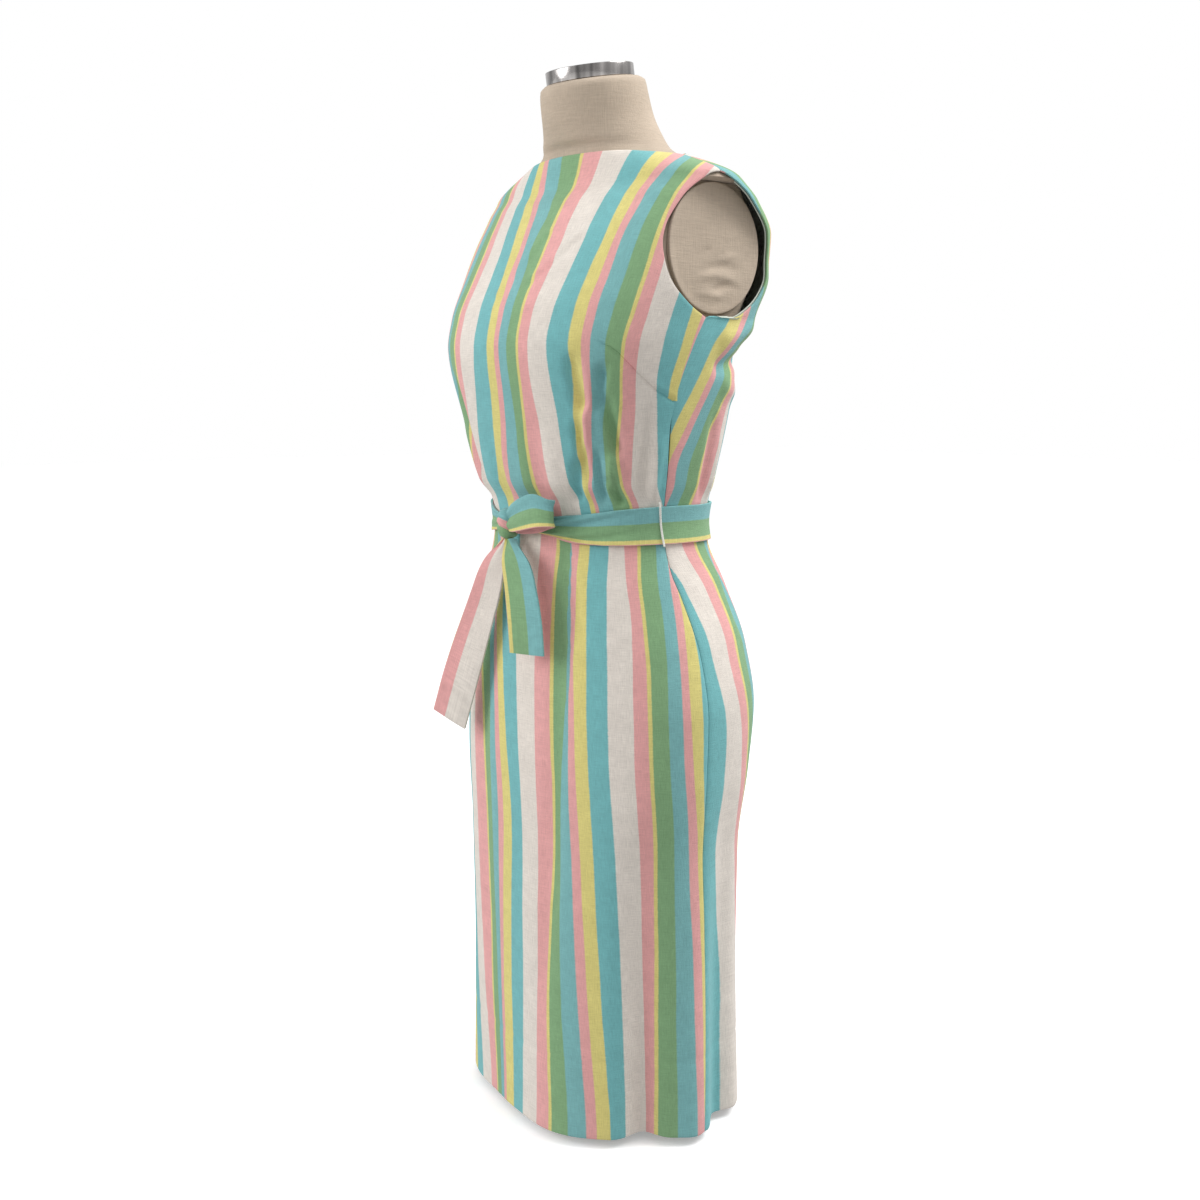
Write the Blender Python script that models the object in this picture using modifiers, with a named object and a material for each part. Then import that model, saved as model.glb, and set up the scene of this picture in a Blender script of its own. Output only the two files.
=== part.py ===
"""Sleeveless belted sundress on a limbless dress form.

Metres, +Z up, the front faces -Y and the wearer's left is +X. The origin is
on the floor under the middle of the stand. The cloth pieces are thin walls
lofted through level sections of the garment; each section is a squared oval
whose sizes stand in the tables below.
"""
import math

import bmesh
import bpy
import numpy as np
from mathutils import Matrix

# ---------------------------------------------------------------- sizes
WALL = 0.0016             # cloth wall
FACING_WALL = 0.0010
SEAM_GAP = 0.0003         # clearance between neighbouring pieces
WAIST = 0.600             # height of the waist seam
UNDERARM = 0.790          # height of the armhole's lowest point
HEM = 0.009               # mean height of the hem above the floor
BELT_HALF_WIDTH = 0.0190
BELT_WALL = 0.0022
BELT_CLEARANCE = 0.0007
RIBBON_WALL = 0.0022      # a loose belt end: two layers of cloth
FOLD_RADIUS = 0.13        # turns a fold's angle into a distance on the cloth

POLE_RADIUS = 0.016
BASE_RADIUS = 0.090
BASE_EDGE = 0.009         # thickness of the base at its rim
BASE_HUB = 0.021          # height of the base's hub
FORM_FLOOR = 0.385        # height of the form's closed underside
SHOULDER_PLATE = {"x": 0.1413, "depth": 0.0042, "y": 0.0150, "z": 0.8535,
                  "half_y": 0.0566, "half_z": 0.0592}
NECK_TILT = 0.156         # rise of the neck's top for each metre backwards
NECK_CAP = {"radius": 0.0425, "depth": 0.0125, "y": -0.0125, "z": 1.0248}

# columns: height, half width, front depth, back depth, centre y,
#          squareness of the front and of the back (2 is a true oval)
GARMENT_SECTIONS = np.array([
    (0.000, 0.152, 0.104, 0.117, 0.000, 2.50, 2.50),
    (0.150, 0.152, 0.104, 0.112, 0.000, 2.40, 2.40),
    (0.280, 0.156, 0.106, 0.111, 0.000, 2.30, 2.30),
    (0.360, 0.164, 0.106, 0.124, 0.000, 2.25, 2.25),
    (0.420, 0.166, 0.104, 0.134, 0.000, 2.20, 2.20),
    (0.480, 0.156, 0.100, 0.126, 0.000, 2.20, 2.20),
    (0.540, 0.136, 0.095, 0.104, 0.000, 2.20, 2.20),
    (0.581, 0.1225, 0.0900, 0.0850, 0.000, 2.20, 2.20),
    (0.600, 0.1205, 0.0890, 0.0825, 0.000, 2.20, 2.20),
    (0.619, 0.1235, 0.0925, 0.0840, 0.000, 2.20, 2.20),
    (0.640, 0.131, 0.106, 0.087, 0.000, 2.20, 2.20),
    (0.700, 0.146, 0.122, 0.096, 0.000, 2.25, 2.20),
    (0.765, 0.160, 0.134, 0.100, 0.000, 2.30, 2.15),
    (0.795, 0.164, 0.127, 0.116, 0.000, 2.25, 2.30),
    (0.830, 0.168, 0.110, 0.132, 0.002, 2.20, 2.45),
    (0.870, 0.170, 0.088, 0.132, 0.004, 2.10, 2.50),
    (0.900, 0.169, 0.067, 0.110, 0.006, 2.00, 2.30),
    (0.918, 0.163, 0.054, 0.086, 0.007, 1.95, 2.10),
    (0.945, 0.100, 0.050, 0.058, 0.006, 2.00, 2.00),
    (0.956, 0.076, 0.048, 0.052, 0.006, 2.00, 2.00),
])

# the form under the cloth; last two columns: where its side is cut off flat
# for the arm plate, and how far its level tilts
FORM_SECTIONS = np.array([
    (0.385, 0.150, 0.088, 0.110, 0.000, 2.20, 2.20, 0.200, 0.0),
    (0.420, 0.154, 0.090, 0.118, 0.000, 2.20, 2.20, 0.200, 0.0),
    (0.480, 0.146, 0.089, 0.112, 0.000, 2.20, 2.20, 0.200, 0.0),
    (0.540, 0.127, 0.086, 0.093, 0.000, 2.20, 2.20, 0.200, 0.0),
    (0.600, 0.1155, 0.0840, 0.0775, 0.000, 2.20, 2.20, 0.200, 0.0),
    (0.640, 0.118, 0.089, 0.078, 0.000, 2.20, 2.20, 0.200, 0.0),
    (0.700, 0.132, 0.104, 0.084, 0.000, 2.20, 2.20, 0.200, 0.0),
    (0.765, 0.149, 0.123, 0.088, 0.000, 2.25, 2.15, 0.200, 0.0),
    (0.781, 0.151, 0.119, 0.094, 0.000, 2.25, 2.25, 0.150, 0.0),
    (0.791, 0.153, 0.116, 0.098, 0.000, 2.25, 2.30, 0.141, 0.0),
    (0.830, 0.160, 0.100, 0.110, 0.002, 2.20, 2.40, 0.141, 0.0),
    (0.870, 0.163, 0.079, 0.110, 0.004, 2.10, 2.40, 0.141, 0.0),
    (0.904, 0.160, 0.058, 0.090, 0.006, 2.00, 2.20, 0.141, 0.0),
    (0.9130, 0.1600, 0.0520, 0.0820, 0.007, 1.95, 2.10, 0.141, 0.0),
    (0.9148, 0.1600, 0.0510, 0.0795, 0.007, 1.95, 2.10, 0.170, 0.0),
    (0.9418, 0.0975, 0.0470, 0.0520, 0.006, 2.00, 2.00, 0.200, 0.0),
    (0.9524, 0.0780, 0.0465, 0.0500, 0.006, 2.00, 2.00, 0.200, 0.0),
    (0.9630, 0.0680, 0.0515, 0.0500, 0.004, 2.00, 2.00, 0.200, 0.05),
    (0.9850, 0.0565, 0.0515, 0.0515, -0.003, 2.00, 2.00, 0.200, 0.10),
    (1.0080, 0.0520, 0.0510, 0.0510, -0.008, 2.00, 2.00, 0.200, 0.15),
    (1.0150, 0.0505, 0.0500, 0.0500, -0.009, 2.00, 2.00, 0.200, 0.156),
    (1.0185, 0.0455, 0.0455, 0.0455, -0.010, 2.00, 2.00, 0.200, 0.156),
])
FORM_FOOT = ((0.000, 0.930), (0.004, 0.975), (0.012, 1.000))  # rise, scale

# side seam: height, angle from the front (degrees)
SIDE_SEAM = np.array([
    (0.000, 90.0), (0.140, 91.0), (0.240, 90.0), (0.340, 88.0),
    (0.466, 87.0), (0.532, 82.5), (0.555, 79.5), (0.600, 78.0),
    (0.660, 77.0), (0.712, 76.0), (0.774, 83.0), (0.790, 86.0),
])

# armhole edge from the underarm up to the shoulder tip: angle, height
ARMHOLE_FRONT = ((86.0, 0.790), (77.5, 0.802), (67.0, 0.822), (60.5, 0.844),
                 (57.5, 0.862), (58.0, 0.882), (63.5, 0.904), (76.0, 0.917),
                 (90.0, 0.921))
ARMHOLE_BACK = ((86.0, 0.790), (101.0, 0.791), (113.0, 0.804), (119.0, 0.825),
                (120.5, 0.846), (118.0, 0.869), (112.0, 0.890),
                (103.0, 0.909), (90.0, 0.921))
# neckline from the centre out to the shoulder: angle, height
NECKLINE_FRONT = ((0.0, 0.947), (41.0, 0.9462), (62.0, 0.9435), (90.0, 0.940))
NECKLINE_BACK = ((180.0, 0.950), (140.0, 0.9490), (114.0, 0.9460),
                 (90.0, 0.940))
NECK_SHARE = 0.6875       # part of the top edge that is neckline

# folds: angle and height of the upper end, angle and height of the lower
# end, half width, depth at the upper and the lower end (+ out, - in)
SKIRT_FOLDS = np.array([
    (12, 0.300, 16, -0.02, 0.075, 0.000, 0.016),
    (58, 0.360, 61, -0.02, 0.042, 0.000, -0.023),
    (88, 0.300, 89, -0.02, 0.024, 0.000, 0.013),
    (101, 0.420, 104, -0.02, 0.030, 0.000, -0.021),
    (21, 0.600, 12, 0.080, 0.017, -0.003, -0.003),
    (20, 0.592, 28, 0.480, 0.015, -0.004, -0.002),
    (-28, 0.590, -20, 0.470, 0.016, -0.004, -0.002),
    (-22, 0.500, -18, 0.100, 0.020, -0.003, -0.002),
    (-60, 0.350, -64, -0.02, 0.046, 0.000, -0.015),
    (-91, 0.280, -92, -0.02, 0.026, 0.000, 0.009),
    (138, 0.380, 142, -0.02, 0.044, 0.000, -0.014),
    (-112, 0.330, -108, -0.02, 0.032, 0.000, -0.010),
    (-146, 0.400, -143, -0.02, 0.048, 0.000, -0.015),
    (125, 0.590, 121, 0.480, 0.017, -0.004, -0.002),
    (-122, 0.590, -127, 0.490, 0.016, -0.004, -0.002),
    (158, 0.585, 160, 0.500, 0.018, -0.003, -0.001),
    (-160, 0.585, -157, 0.470, 0.018, -0.003, -0.001),
])
BODICE_FOLDS = np.array([
    (38.5, 0.750, 34.0, 0.621, 0.015, -0.003, -0.007),
    (47.5, 0.735, 44.0, 0.621, 0.013, 0.002, 0.004),
    (54.0, 0.745, 52.5, 0.621, 0.014, -0.003, -0.007),
    (67.0, 0.700, 66.0, 0.621, 0.014, -0.001, -0.004),
    (15.0, 0.720, 12.0, 0.621, 0.017, -0.001, -0.004),
    (-9.0, 0.700, -8.0, 0.621, 0.017, -0.001, -0.004),
    (-31.0, 0.750, -29.0, 0.621, 0.016, -0.003, -0.007),
    (-51.0, 0.735, -48.0, 0.621, 0.015, -0.002, -0.006),
    (-67.0, 0.690, -64.0, 0.621, 0.014, -0.001, -0.004),
    (99.0, 0.710, 102.0, 0.621, 0.015, -0.002, -0.005),
    (122.0, 0.740, 124.0, 0.621, 0.017, -0.002, -0.007),
    (147.0, 0.720, 148.0, 0.621, 0.017, -0.002, -0.006),
    (-104.0, 0.720, -106.0, 0.621, 0.016, -0.002, -0.006),
    (-130.0, 0.740, -129.0, 0.621, 0.017, -0.002, -0.006),
    (-154.0, 0.710, -152.0, 0.621, 0.017, -0.002, -0.005),
    (123.0, 0.850, 118.0, 0.765, 0.030, 0.001, 0.006),
    (-123.0, 0.850, -118.0, 0.765, 0.030, 0.001, 0.005),
])
FOLD_FADE = 0.25          # share of a fold's length over which it dies out

# grid counts
SKIRT_ROWS = 19
SKIRT_COLUMNS = 13        # for a quarter of the skirt
BODICE_LOW_ROWS = 9
BODICE_TOP_ROWS = 10
BODICE_COLUMNS = 16       # for a quarter of the bodice
FACING_COLUMNS = 2        # of the bodice's columns, in from the armhole
BELT_COLUMNS = 64
BELT_ROWS = 5
LOOP_ROWS = 22
SHORT_END_ROWS = 10
LONG_END_ROWS = 14
RIBBON_COLUMNS = 4
CARRIER_ROWS = 7
CURVE_STEPS = 24          # between two points of a smooth curve
EDGE_POINTS = 97          # along a garment edge while the patch is worked out
ROUND_STEPS = 40          # around a disc
POLE_STEPS = 24
FORM_COLUMNS = 36
FORM_HEIGHTS = (0.418, 0.450, 0.480, 0.510, 0.540, 0.570, 0.600, 0.630, 0.660, 0.695, 0.730,
                0.765, 0.781, 0.791, 0.815, 0.840, 0.870, 0.890, 0.904, 0.913, 0.9148,
                0.926, 0.934, 0.9418, 0.9524, 0.9630, 0.974, 0.985, 1.008, 1.015, 1.0185)
SHARP_ANGLE = math.radians(50)
BEVEL_ANGLE = math.radians(40)

# belt tied at the front: its knot, and the loose ends' middle lines with
# columns x, y, z, turn of the cloth about the vertical (degrees), width
KNOT = {"x": -0.0145, "y": -0.1031, "z": 0.5985,
        "half_x": 0.0125, "half_y": 0.0135, "half_z": 0.0175}
LOOP_ROUTE = ((-0.0037, -0.1031, 0.6015), (0.0120, -0.1025, 0.6040),
              (0.0300, -0.1015, 0.6080), (0.0450, -0.0995, 0.6125),
              (0.0560, -0.1000, 0.6145), (0.0610, -0.1050, 0.6150),
              (0.0575, -0.1105, 0.6150), (0.0430, -0.1150, 0.6130),
              (0.0180, -0.1150, 0.6070), (-0.0055, -0.1100, 0.6010))
LOOP_WIDTH = 0.033
LONG_END_SLANT = 0.016    # how much longer its outer edge is
SHORT_END = ((-0.0100, -0.1050, 0.5836, 2.0, 0.012),
             (0.0100, -0.1140, 0.5640, 9.0, 0.030),
             (0.0235, -0.1180, 0.5380, 15.0, 0.038),
             (0.0310, -0.1190, 0.5080, 18.0, 0.039),
             (0.0335, -0.1185, 0.4780, 18.0, 0.039))
LONG_END = ((-0.0190, -0.1012, 0.5834, 2.0, 0.012),
            (-0.0320, -0.1070, 0.5600, 8.0, 0.025),
            (-0.0420, -0.1120, 0.5250, 14.0, 0.036),
            (-0.0590, -0.1165, 0.4800, 19.0, 0.038),
            (-0.0770, -0.1195, 0.4350, 21.0, 0.038),
            (-0.0940, -0.1205, 0.3950, 21.0, 0.038))
CARRIER = {"angle": 75.0, "width": 0.0024, "wall": 0.0010,
           "overhang": 0.0035}

# colour, roughness, metallic
FINISHES = {
    "cloth_bodice": ((0.35, 0.66, 0.66, 1.0), 0.85, 0.0),
    "cloth_skirt": ((0.78, 0.76, 0.70, 1.0), 0.85, 0.0),
    "cloth_belt": ((0.36, 0.58, 0.36, 1.0), 0.85, 0.0),
    "cloth_pink": ((0.85, 0.55, 0.55, 1.0), 0.85, 0.0),
    "facing_white": ((0.80, 0.80, 0.76, 1.0), 0.85, 0.0),
    "linen": ((0.62, 0.56, 0.48, 1.0), 0.90, 0.0),
    "chrome": ((0.80, 0.80, 0.80, 1.0), 0.15, 1.0),
    "painted_iron": ((0.10, 0.10, 0.10, 1.0), 0.45, 0.0),
}


# ---------------------------------------------------------------- helpers
def table_value(table, column, heights):
    """Smooth value of one column: a cubic that never overshoots its rows."""
    knots = table[:, 0]
    values = table[:, column]
    heights = np.clip(heights, knots[0], knots[-1])
    steps = np.diff(knots)
    slopes = np.diff(values) / steps
    tangents = np.zeros(len(values))
    tangents[0] = slopes[0]
    tangents[-1] = slopes[-1]
    for i in range(1, len(values) - 1):
        if slopes[i - 1] * slopes[i] > 0:
            before = 2 * steps[i] + steps[i - 1]
            after = steps[i] + 2 * steps[i - 1]
            tangents[i] = (before + after) / (before / slopes[i - 1] + after / slopes[i])
    cell = np.clip(np.searchsorted(knots, heights, side="right") - 1, 0, len(steps) - 1)
    t = (heights - knots[cell]) / steps[cell]
    step = steps[cell]
    return ((2 * t**3 - 3 * t**2 + 1) * values[cell]
            + (t**3 - 2 * t**2 + t) * step * tangents[cell]
            + (3 * t**2 - 2 * t**3) * values[cell + 1]
            + (t**3 - t**2) * step * tangents[cell + 1])


def section_point(table, angle, height):
    """Point of a section: angle 0 is the front, +90 degrees the left side."""
    angle, height = np.broadcast_arrays(np.asarray(angle, float), np.asarray(height, float))
    sine = np.sin(angle)
    cosine = np.cos(angle)
    front = cosine > 0
    power = 2.0 / np.where(front, table_value(table, 5, height), table_value(table, 6, height))
    depth = np.where(front, table_value(table, 2, height), table_value(table, 3, height))
    x = table_value(table, 1, height) * np.sign(sine) * np.abs(sine) ** power
    y = table_value(table, 4, height) - depth * np.sign(cosine) * np.abs(cosine) ** power
    return np.stack([x, y, height], axis=-1)


def section_angle(table, point):
    """The angle at which a point lies on the section of its own height."""
    height = point[..., 2]
    offset = table_value(table, 4, height) - point[..., 1]
    front = offset > 0
    square = np.where(front, table_value(table, 5, height), table_value(table, 6, height))
    depth = np.where(front, table_value(table, 2, height), table_value(table, 3, height))
    across = point[..., 0] / table_value(table, 1, height)
    along = offset / depth
    return np.arctan2(np.sign(across) * np.abs(across) ** (square / 2),
                      np.sign(along) * np.abs(along) ** (square / 2))


def smooth_step(t):
    t = np.clip(t, 0.0, 1.0)
    return t * t * (3 - 2 * t)


def fold_depth(folds, angle, height):
    """How far all the folds together move the cloth at a place."""
    total = np.zeros(np.broadcast(angle, height).shape)
    for top_angle, top, low_angle, low, half_width, top_depth, low_depth in folds:
        along = (height - low) / (top - low)
        line = np.radians(low_angle + (top_angle - low_angle) * np.clip(along, 0, 1))
        turn = (angle - line + math.pi) % (2 * math.pi) - math.pi
        across = np.clip(np.abs(turn) * FOLD_RADIUS / half_width, 0, 1)
        fade = smooth_step((1 - along) / FOLD_FADE) * smooth_step(along / FOLD_FADE + (low < 0))
        depth = low_depth + (top_depth - low_depth) * np.clip(along, 0, 1)
        total += depth * fade * 0.5 * (1 + np.cos(math.pi * across))
    return total


def level_normal(angle, height):
    """Outward direction of a section in its own plane."""
    turn = 0.004
    ahead = section_point(GARMENT_SECTIONS, angle + turn, height)
    behind = section_point(GARMENT_SECTIONS, angle - turn, height)
    along = ahead - behind
    normal = np.stack([along[..., 1], -along[..., 0], np.zeros(along.shape[:-1])], axis=-1)
    return normal / np.linalg.norm(normal, axis=-1, keepdims=True)


def cloth_point(folds, angle, height):
    """Point on the outer face of the cloth."""
    depth = fold_depth(folds, angle, height)
    return section_point(GARMENT_SECTIONS, angle, height) + level_normal(angle, height) * depth[..., None]


def cloth_normal(folds, angle, height):
    """Outward normal of the cloth's outer face."""
    turn = 0.01
    rise = 0.001
    along = cloth_point(folds, angle + turn, height) - cloth_point(folds, angle - turn, height)
    up = cloth_point(folds, angle, height + rise) - cloth_point(folds, angle, height - rise)
    normal = np.cross(along, up)
    return normal / np.linalg.norm(normal, axis=-1, keepdims=True)


def through_points(points, count):
    """A smooth open curve through the points, in steps of equal length."""
    points = np.asarray(points, float)
    padded = np.vstack([2 * points[0] - points[1], points, 2 * points[-1] - points[-2]])
    fine = []
    for i in range(len(points) - 1):
        p0, p1, p2, p3 = padded[i:i + 4]
        for t in np.linspace(0, 1, CURVE_STEPS, endpoint=False):
            fine.append(0.5 * (2 * p1 + (p2 - p0) * t + (2 * p0 - 5 * p1 + 4 * p2 - p3) * t**2
                               + (3 * p1 - p0 - 3 * p2 + p3) * t**3))
    fine.append(points[-1])
    fine = np.array(fine)
    length = np.concatenate([[0], np.cumsum(np.linalg.norm(np.diff(fine, axis=0), axis=1))])
    places = np.linspace(0, length[-1], count)
    return np.stack([np.interp(places, length, fine[:, k]) for k in range(fine.shape[1])], axis=-1)


def edge_curve(rows, count):
    """A garment edge given as angles and heights, as points on the sections."""
    rows = np.array(rows, float)
    rows[:, 0] *= FOLD_RADIUS * math.pi / 180
    even = through_points(rows, count)
    return section_point(GARMENT_SECTIONS, even[:, 0] / FOLD_RADIUS, even[:, 1])


# ---------------------------------------------------------------- scene
def clear_scene():
    for item in list(bpy.data.objects):
        bpy.data.objects.remove(item, do_unlink=True)


def make_material(name):
    colour, roughness, metallic = FINISHES[name]
    material = bpy.data.materials.get(name) or bpy.data.materials.new(name)
    material.use_nodes = True
    shader = material.node_tree.nodes["Principled BSDF"]
    shader.inputs["Base Color"].default_value = colour
    shader.inputs["Roughness"].default_value = roughness
    shader.inputs["Metallic"].default_value = metallic
    material.diffuse_color = colour
    return material


def place_object(name, mesh, finish, collection):
    item = bpy.data.objects.new(name, mesh)
    collection.objects.link(item)
    mesh.materials.clear()
    mesh.materials.append(make_material(finish))
    return item


def adopt_primitive(name, finish, collection):
    """Names the primitive just added and moves it to the part's collection."""
    item = bpy.context.object
    item.name = name
    item.data.name = name
    for home in list(item.users_collection):
        home.objects.unlink(item)
    collection.objects.link(item)
    item.data.materials.clear()
    item.data.materials.append(make_material(finish))
    return item


def loft_walls(name, outer, inner, wrap=False):
    """Closes two grids of points, rows by columns, into one thin wall."""
    rows, columns = outer.shape[:2]
    grid = bmesh.new()
    faces = [[[grid.verts.new(point) for point in row] for row in layer]
             for layer in (outer, inner)]
    out, back = faces
    last = columns if wrap else columns - 1
    for r in range(rows - 1):
        for c in range(last):
            d = (c + 1) % columns
            grid.faces.new((out[r][c], out[r][d], out[r + 1][d], out[r + 1][c]))
            grid.faces.new((back[r][c], back[r + 1][c], back[r + 1][d], back[r][d]))
    for c in range(last):
        d = (c + 1) % columns
        grid.faces.new((out[0][c], back[0][c], back[0][d], out[0][d]))
        grid.faces.new((out[-1][c], out[-1][d], back[-1][d], back[-1][c]))
    if not wrap:
        for r in range(rows - 1):
            grid.faces.new((out[r][0], out[r + 1][0], back[r + 1][0], back[r][0]))
            grid.faces.new((out[r][-1], back[r][-1], back[r + 1][-1], out[r + 1][-1]))
    mesh = bpy.data.meshes.new(name)
    grid.to_mesh(mesh)
    grid.free()
    mesh.shade_smooth()
    mesh.set_sharp_from_angle(angle=SHARP_ANGLE)
    return mesh


def pull_in(points, first_row, last_row, first_column, last_column):
    """Sets seam edges back by half the seam gap, towards the piece's inside."""
    step = SEAM_GAP / 2
    moves = ((first_row, 0, 1, 0), (last_row, -1, -2, 0),
             (first_column, 0, 1, 1), (last_column, -1, -2, 1))
    for wanted, edge, inside, axis in moves:
        if wanted is False:
            continue
        picked = np.ones(points.shape[1 - axis], bool) if wanted is True else wanted
        rows = points if axis == 0 else points.swapaxes(0, 1)
        direction = rows[inside] - rows[edge]
        direction = direction / np.linalg.norm(direction, axis=-1, keepdims=True)
        rows[edge] += direction * step * picked[:, None]
    return points


def cloth_panel(name, folds, angle, height, seams, finish, collection):
    """One cut piece of cloth from a grid of angles and heights."""
    outer = cloth_point(folds, angle, height)
    inner = outer - cloth_normal(folds, angle, height) * WALL
    outer = pull_in(outer, *seams)
    inner = pull_in(inner, *seams)
    return place_object(name, loft_walls(name, outer, inner), finish, collection)


def seam_angle(height):
    return np.radians(table_value(SIDE_SEAM, 1, height))


# ---------------------------------------------------------------- skirt
def skirt_pieces(collection):
    below_belt = np.linspace(HEM, WAIST - BELT_HALF_WIDTH, SKIRT_ROWS)
    heights = np.append(below_belt, [WAIST - BELT_HALF_WIDTH / 2, WAIST])[:, None]
    share = np.linspace(-1, 1, 2 * SKIRT_COLUMNS + 1)[None, :]
    angle = share * seam_angle(heights)
    height = np.broadcast_to(heights, angle.shape)
    seams = (False, True, True, True)
    cloth_panel("skirt_front", SKIRT_FOLDS, angle, height, seams, "cloth_skirt", collection)
    share = np.linspace(0, 1, SKIRT_COLUMNS + 1)[None, :]
    angle = seam_angle(heights) + share * (math.pi - seam_angle(heights))
    height = np.broadcast_to(heights, angle.shape)
    cloth_panel("skirt_back_left", SKIRT_FOLDS, angle, height, seams, "cloth_skirt", collection)
    cloth_panel("skirt_back_right", SKIRT_FOLDS, -angle[:, ::-1], height, seams,
                "cloth_skirt", collection)


# ---------------------------------------------------------------- bodice
def upper_grid(armhole, neckline, centre, shares, steps):
    """Angles and heights of the bodice above the underarm, on one quarter.

    shares runs from the centre line (0) to the armhole (1), steps from the
    underarm level (0) to the neckline and shoulder seam (1).
    """
    even = np.linspace(0, 1, EDGE_POINTS)
    underarm = seam_angle(UNDERARM)
    low = section_point(GARMENT_SECTIONS, centre + even * (underarm - centre), UNDERARM)
    middle = section_point(GARMENT_SECTIONS, centre, UNDERARM + even * (neckline[0][1] - UNDERARM))
    side = edge_curve(armhole, EDGE_POINTS)
    neck_count = int(round(NECK_SHARE * (EDGE_POINTS - 1))) + 1
    neck = edge_curve(neckline, neck_count)
    shoulder = edge_curve((neckline[-1], armhole[-1]), EDGE_POINTS - neck_count + 1)
    top = np.vstack([neck, shoulder[1:]])

    def along(curve, places):
        return np.stack([np.interp(places, even, curve[:, k]) for k in range(3)], axis=-1)

    s = np.asarray(shares, float)[None, :, None]
    t = np.asarray(steps, float)[:, None, None]
    low_at = along(low, shares)[None]
    top_at = along(top, shares)[None]
    middle_at = along(middle, steps)[:, None]
    side_at = along(side, steps)[:, None]
    corners = ((1 - s) * (1 - t) * low[0] + s * (1 - t) * low[-1]
               + (1 - s) * t * top[0] + s * t * top[-1])
    patch = (1 - t) * low_at + t * top_at + (1 - s) * middle_at + s * side_at - corners
    return section_angle(GARMENT_SECTIONS, patch), patch[..., 2]


def quarter_grid(armhole, neckline, centre):
    """The bodice's whole quarter, from the waist seam up."""
    shares = np.linspace(0, 1, BODICE_COLUMNS + 1)
    above_belt = np.linspace(WAIST + BELT_HALF_WIDTH, UNDERARM, BODICE_LOW_ROWS - 1)[:-1]
    low_heights = np.insert(above_belt, 0, [WAIST, WAIST + BELT_HALF_WIDTH / 2])[:, None]
    low_angle = centre + shares[None, :] * (seam_angle(low_heights) - centre)
    low_height = np.broadcast_to(low_heights, low_angle.shape)
    top_angle, top_height = upper_grid(armhole, neckline, centre, shares,
                                       np.linspace(0, 1, BODICE_TOP_ROWS + 1))
    if centre > 1:
        top_angle[:, 0] = math.pi
    return np.vstack([low_angle, top_angle]), np.vstack([low_height, top_height])


def shoulder_columns(count):
    """Marks the columns whose top end lies on the shoulder seam."""
    return np.linspace(0, 1, count) > NECK_SHARE - 0.01


def bodice_pieces(collection):
    angle, height = quarter_grid(ARMHOLE_FRONT, NECKLINE_FRONT, 0.0)
    both_angle = np.hstack([-angle[:, :0:-1], angle])
    both_height = np.hstack([height[:, :0:-1], height])
    side_rows = np.arange(angle.shape[0]) <= BODICE_LOW_ROWS
    shoulder = shoulder_columns(BODICE_COLUMNS + 1)
    both_shoulder = np.concatenate([shoulder[:0:-1], shoulder])
    cloth_panel("bodice_front", BODICE_FOLDS, both_angle, both_height,
                (True, both_shoulder, side_rows, side_rows), "cloth_bodice", collection)
    angle, height = quarter_grid(ARMHOLE_BACK, NECKLINE_BACK, math.pi)
    cloth_panel("bodice_back_left", BODICE_FOLDS, angle[:, ::-1], height[:, ::-1],
                (True, shoulder[::-1], side_rows, True), "cloth_bodice", collection)
    cloth_panel("bodice_back_right", BODICE_FOLDS, -angle, height,
                (True, shoulder, True, side_rows), "cloth_bodice", collection)


def armhole_facings(collection):
    """The turned-in strips along the back of the armholes, inside the wall."""
    angle, height = quarter_grid(ARMHOLE_BACK, NECKLINE_BACK, math.pi)
    rows = slice(BODICE_LOW_ROWS + 1, -1)
    columns = slice(-FACING_COLUMNS - 1, None)
    angle, height = angle[rows, columns][:, ::-1], height[rows, columns][:, ::-1]
    near = WALL + 4 * SEAM_GAP
    for name, side in (("armhole_facing_left", 1), ("armhole_facing_right", -1)):
        a, h = side * angle, height
        if side < 0:
            a, h = a[:, ::-1], h[:, ::-1]
        point = cloth_point(BODICE_FOLDS, a, h)
        normal = cloth_normal(BODICE_FOLDS, a, h)
        outer = point - normal * near
        inner = point - normal * (near + FACING_WALL)
        place_object(name, loft_walls(name, outer, inner), "facing_white", collection)


# ---------------------------------------------------------------- belt
def belt_pieces(collection):
    angle = np.linspace(-math.pi, math.pi, BELT_COLUMNS, endpoint=False)[None, :]
    rows = np.linspace(-1, 1, BELT_ROWS)[:, None] * BELT_HALF_WIDTH + WAIST
    angle, height = np.broadcast_arrays(angle, rows)
    point = section_point(GARMENT_SECTIONS, angle, height)
    normal = level_normal(angle, height)
    outer = point + normal * (BELT_CLEARANCE + BELT_WALL)
    inner = point + normal * BELT_CLEARANCE
    place_object("belt_band", loft_walls("belt_band", outer, inner, wrap=True), "cloth_belt", collection)
    bpy.ops.mesh.primitive_cube_add(size=2, location=(KNOT["x"], KNOT["y"], KNOT["z"]))
    knot = adopt_primitive("belt_knot", "cloth_belt", collection)
    knot.data.transform(Matrix.Diagonal((KNOT["half_x"], KNOT["half_y"], KNOT["half_z"], 1.0)))
    soft = knot.modifiers.new("soft", "SUBSURF")
    soft.levels = 2
    soft.render_levels = 2
    knot.data.shade_smooth()
    loop = through_points(LOOP_ROUTE, LOOP_ROWS)
    upright_ribbon("belt_loop", loop, LOOP_WIDTH, "cloth_belt", collection)
    short_end = through_points(SHORT_END, SHORT_END_ROWS)
    hanging_ribbon("belt_end_short", short_end, 0.0, "cloth_belt", collection)
    long_end = through_points(LONG_END, LONG_END_ROWS)
    hanging_ribbon("belt_end_long", long_end, LONG_END_SLANT, "cloth_pink", collection)


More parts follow.
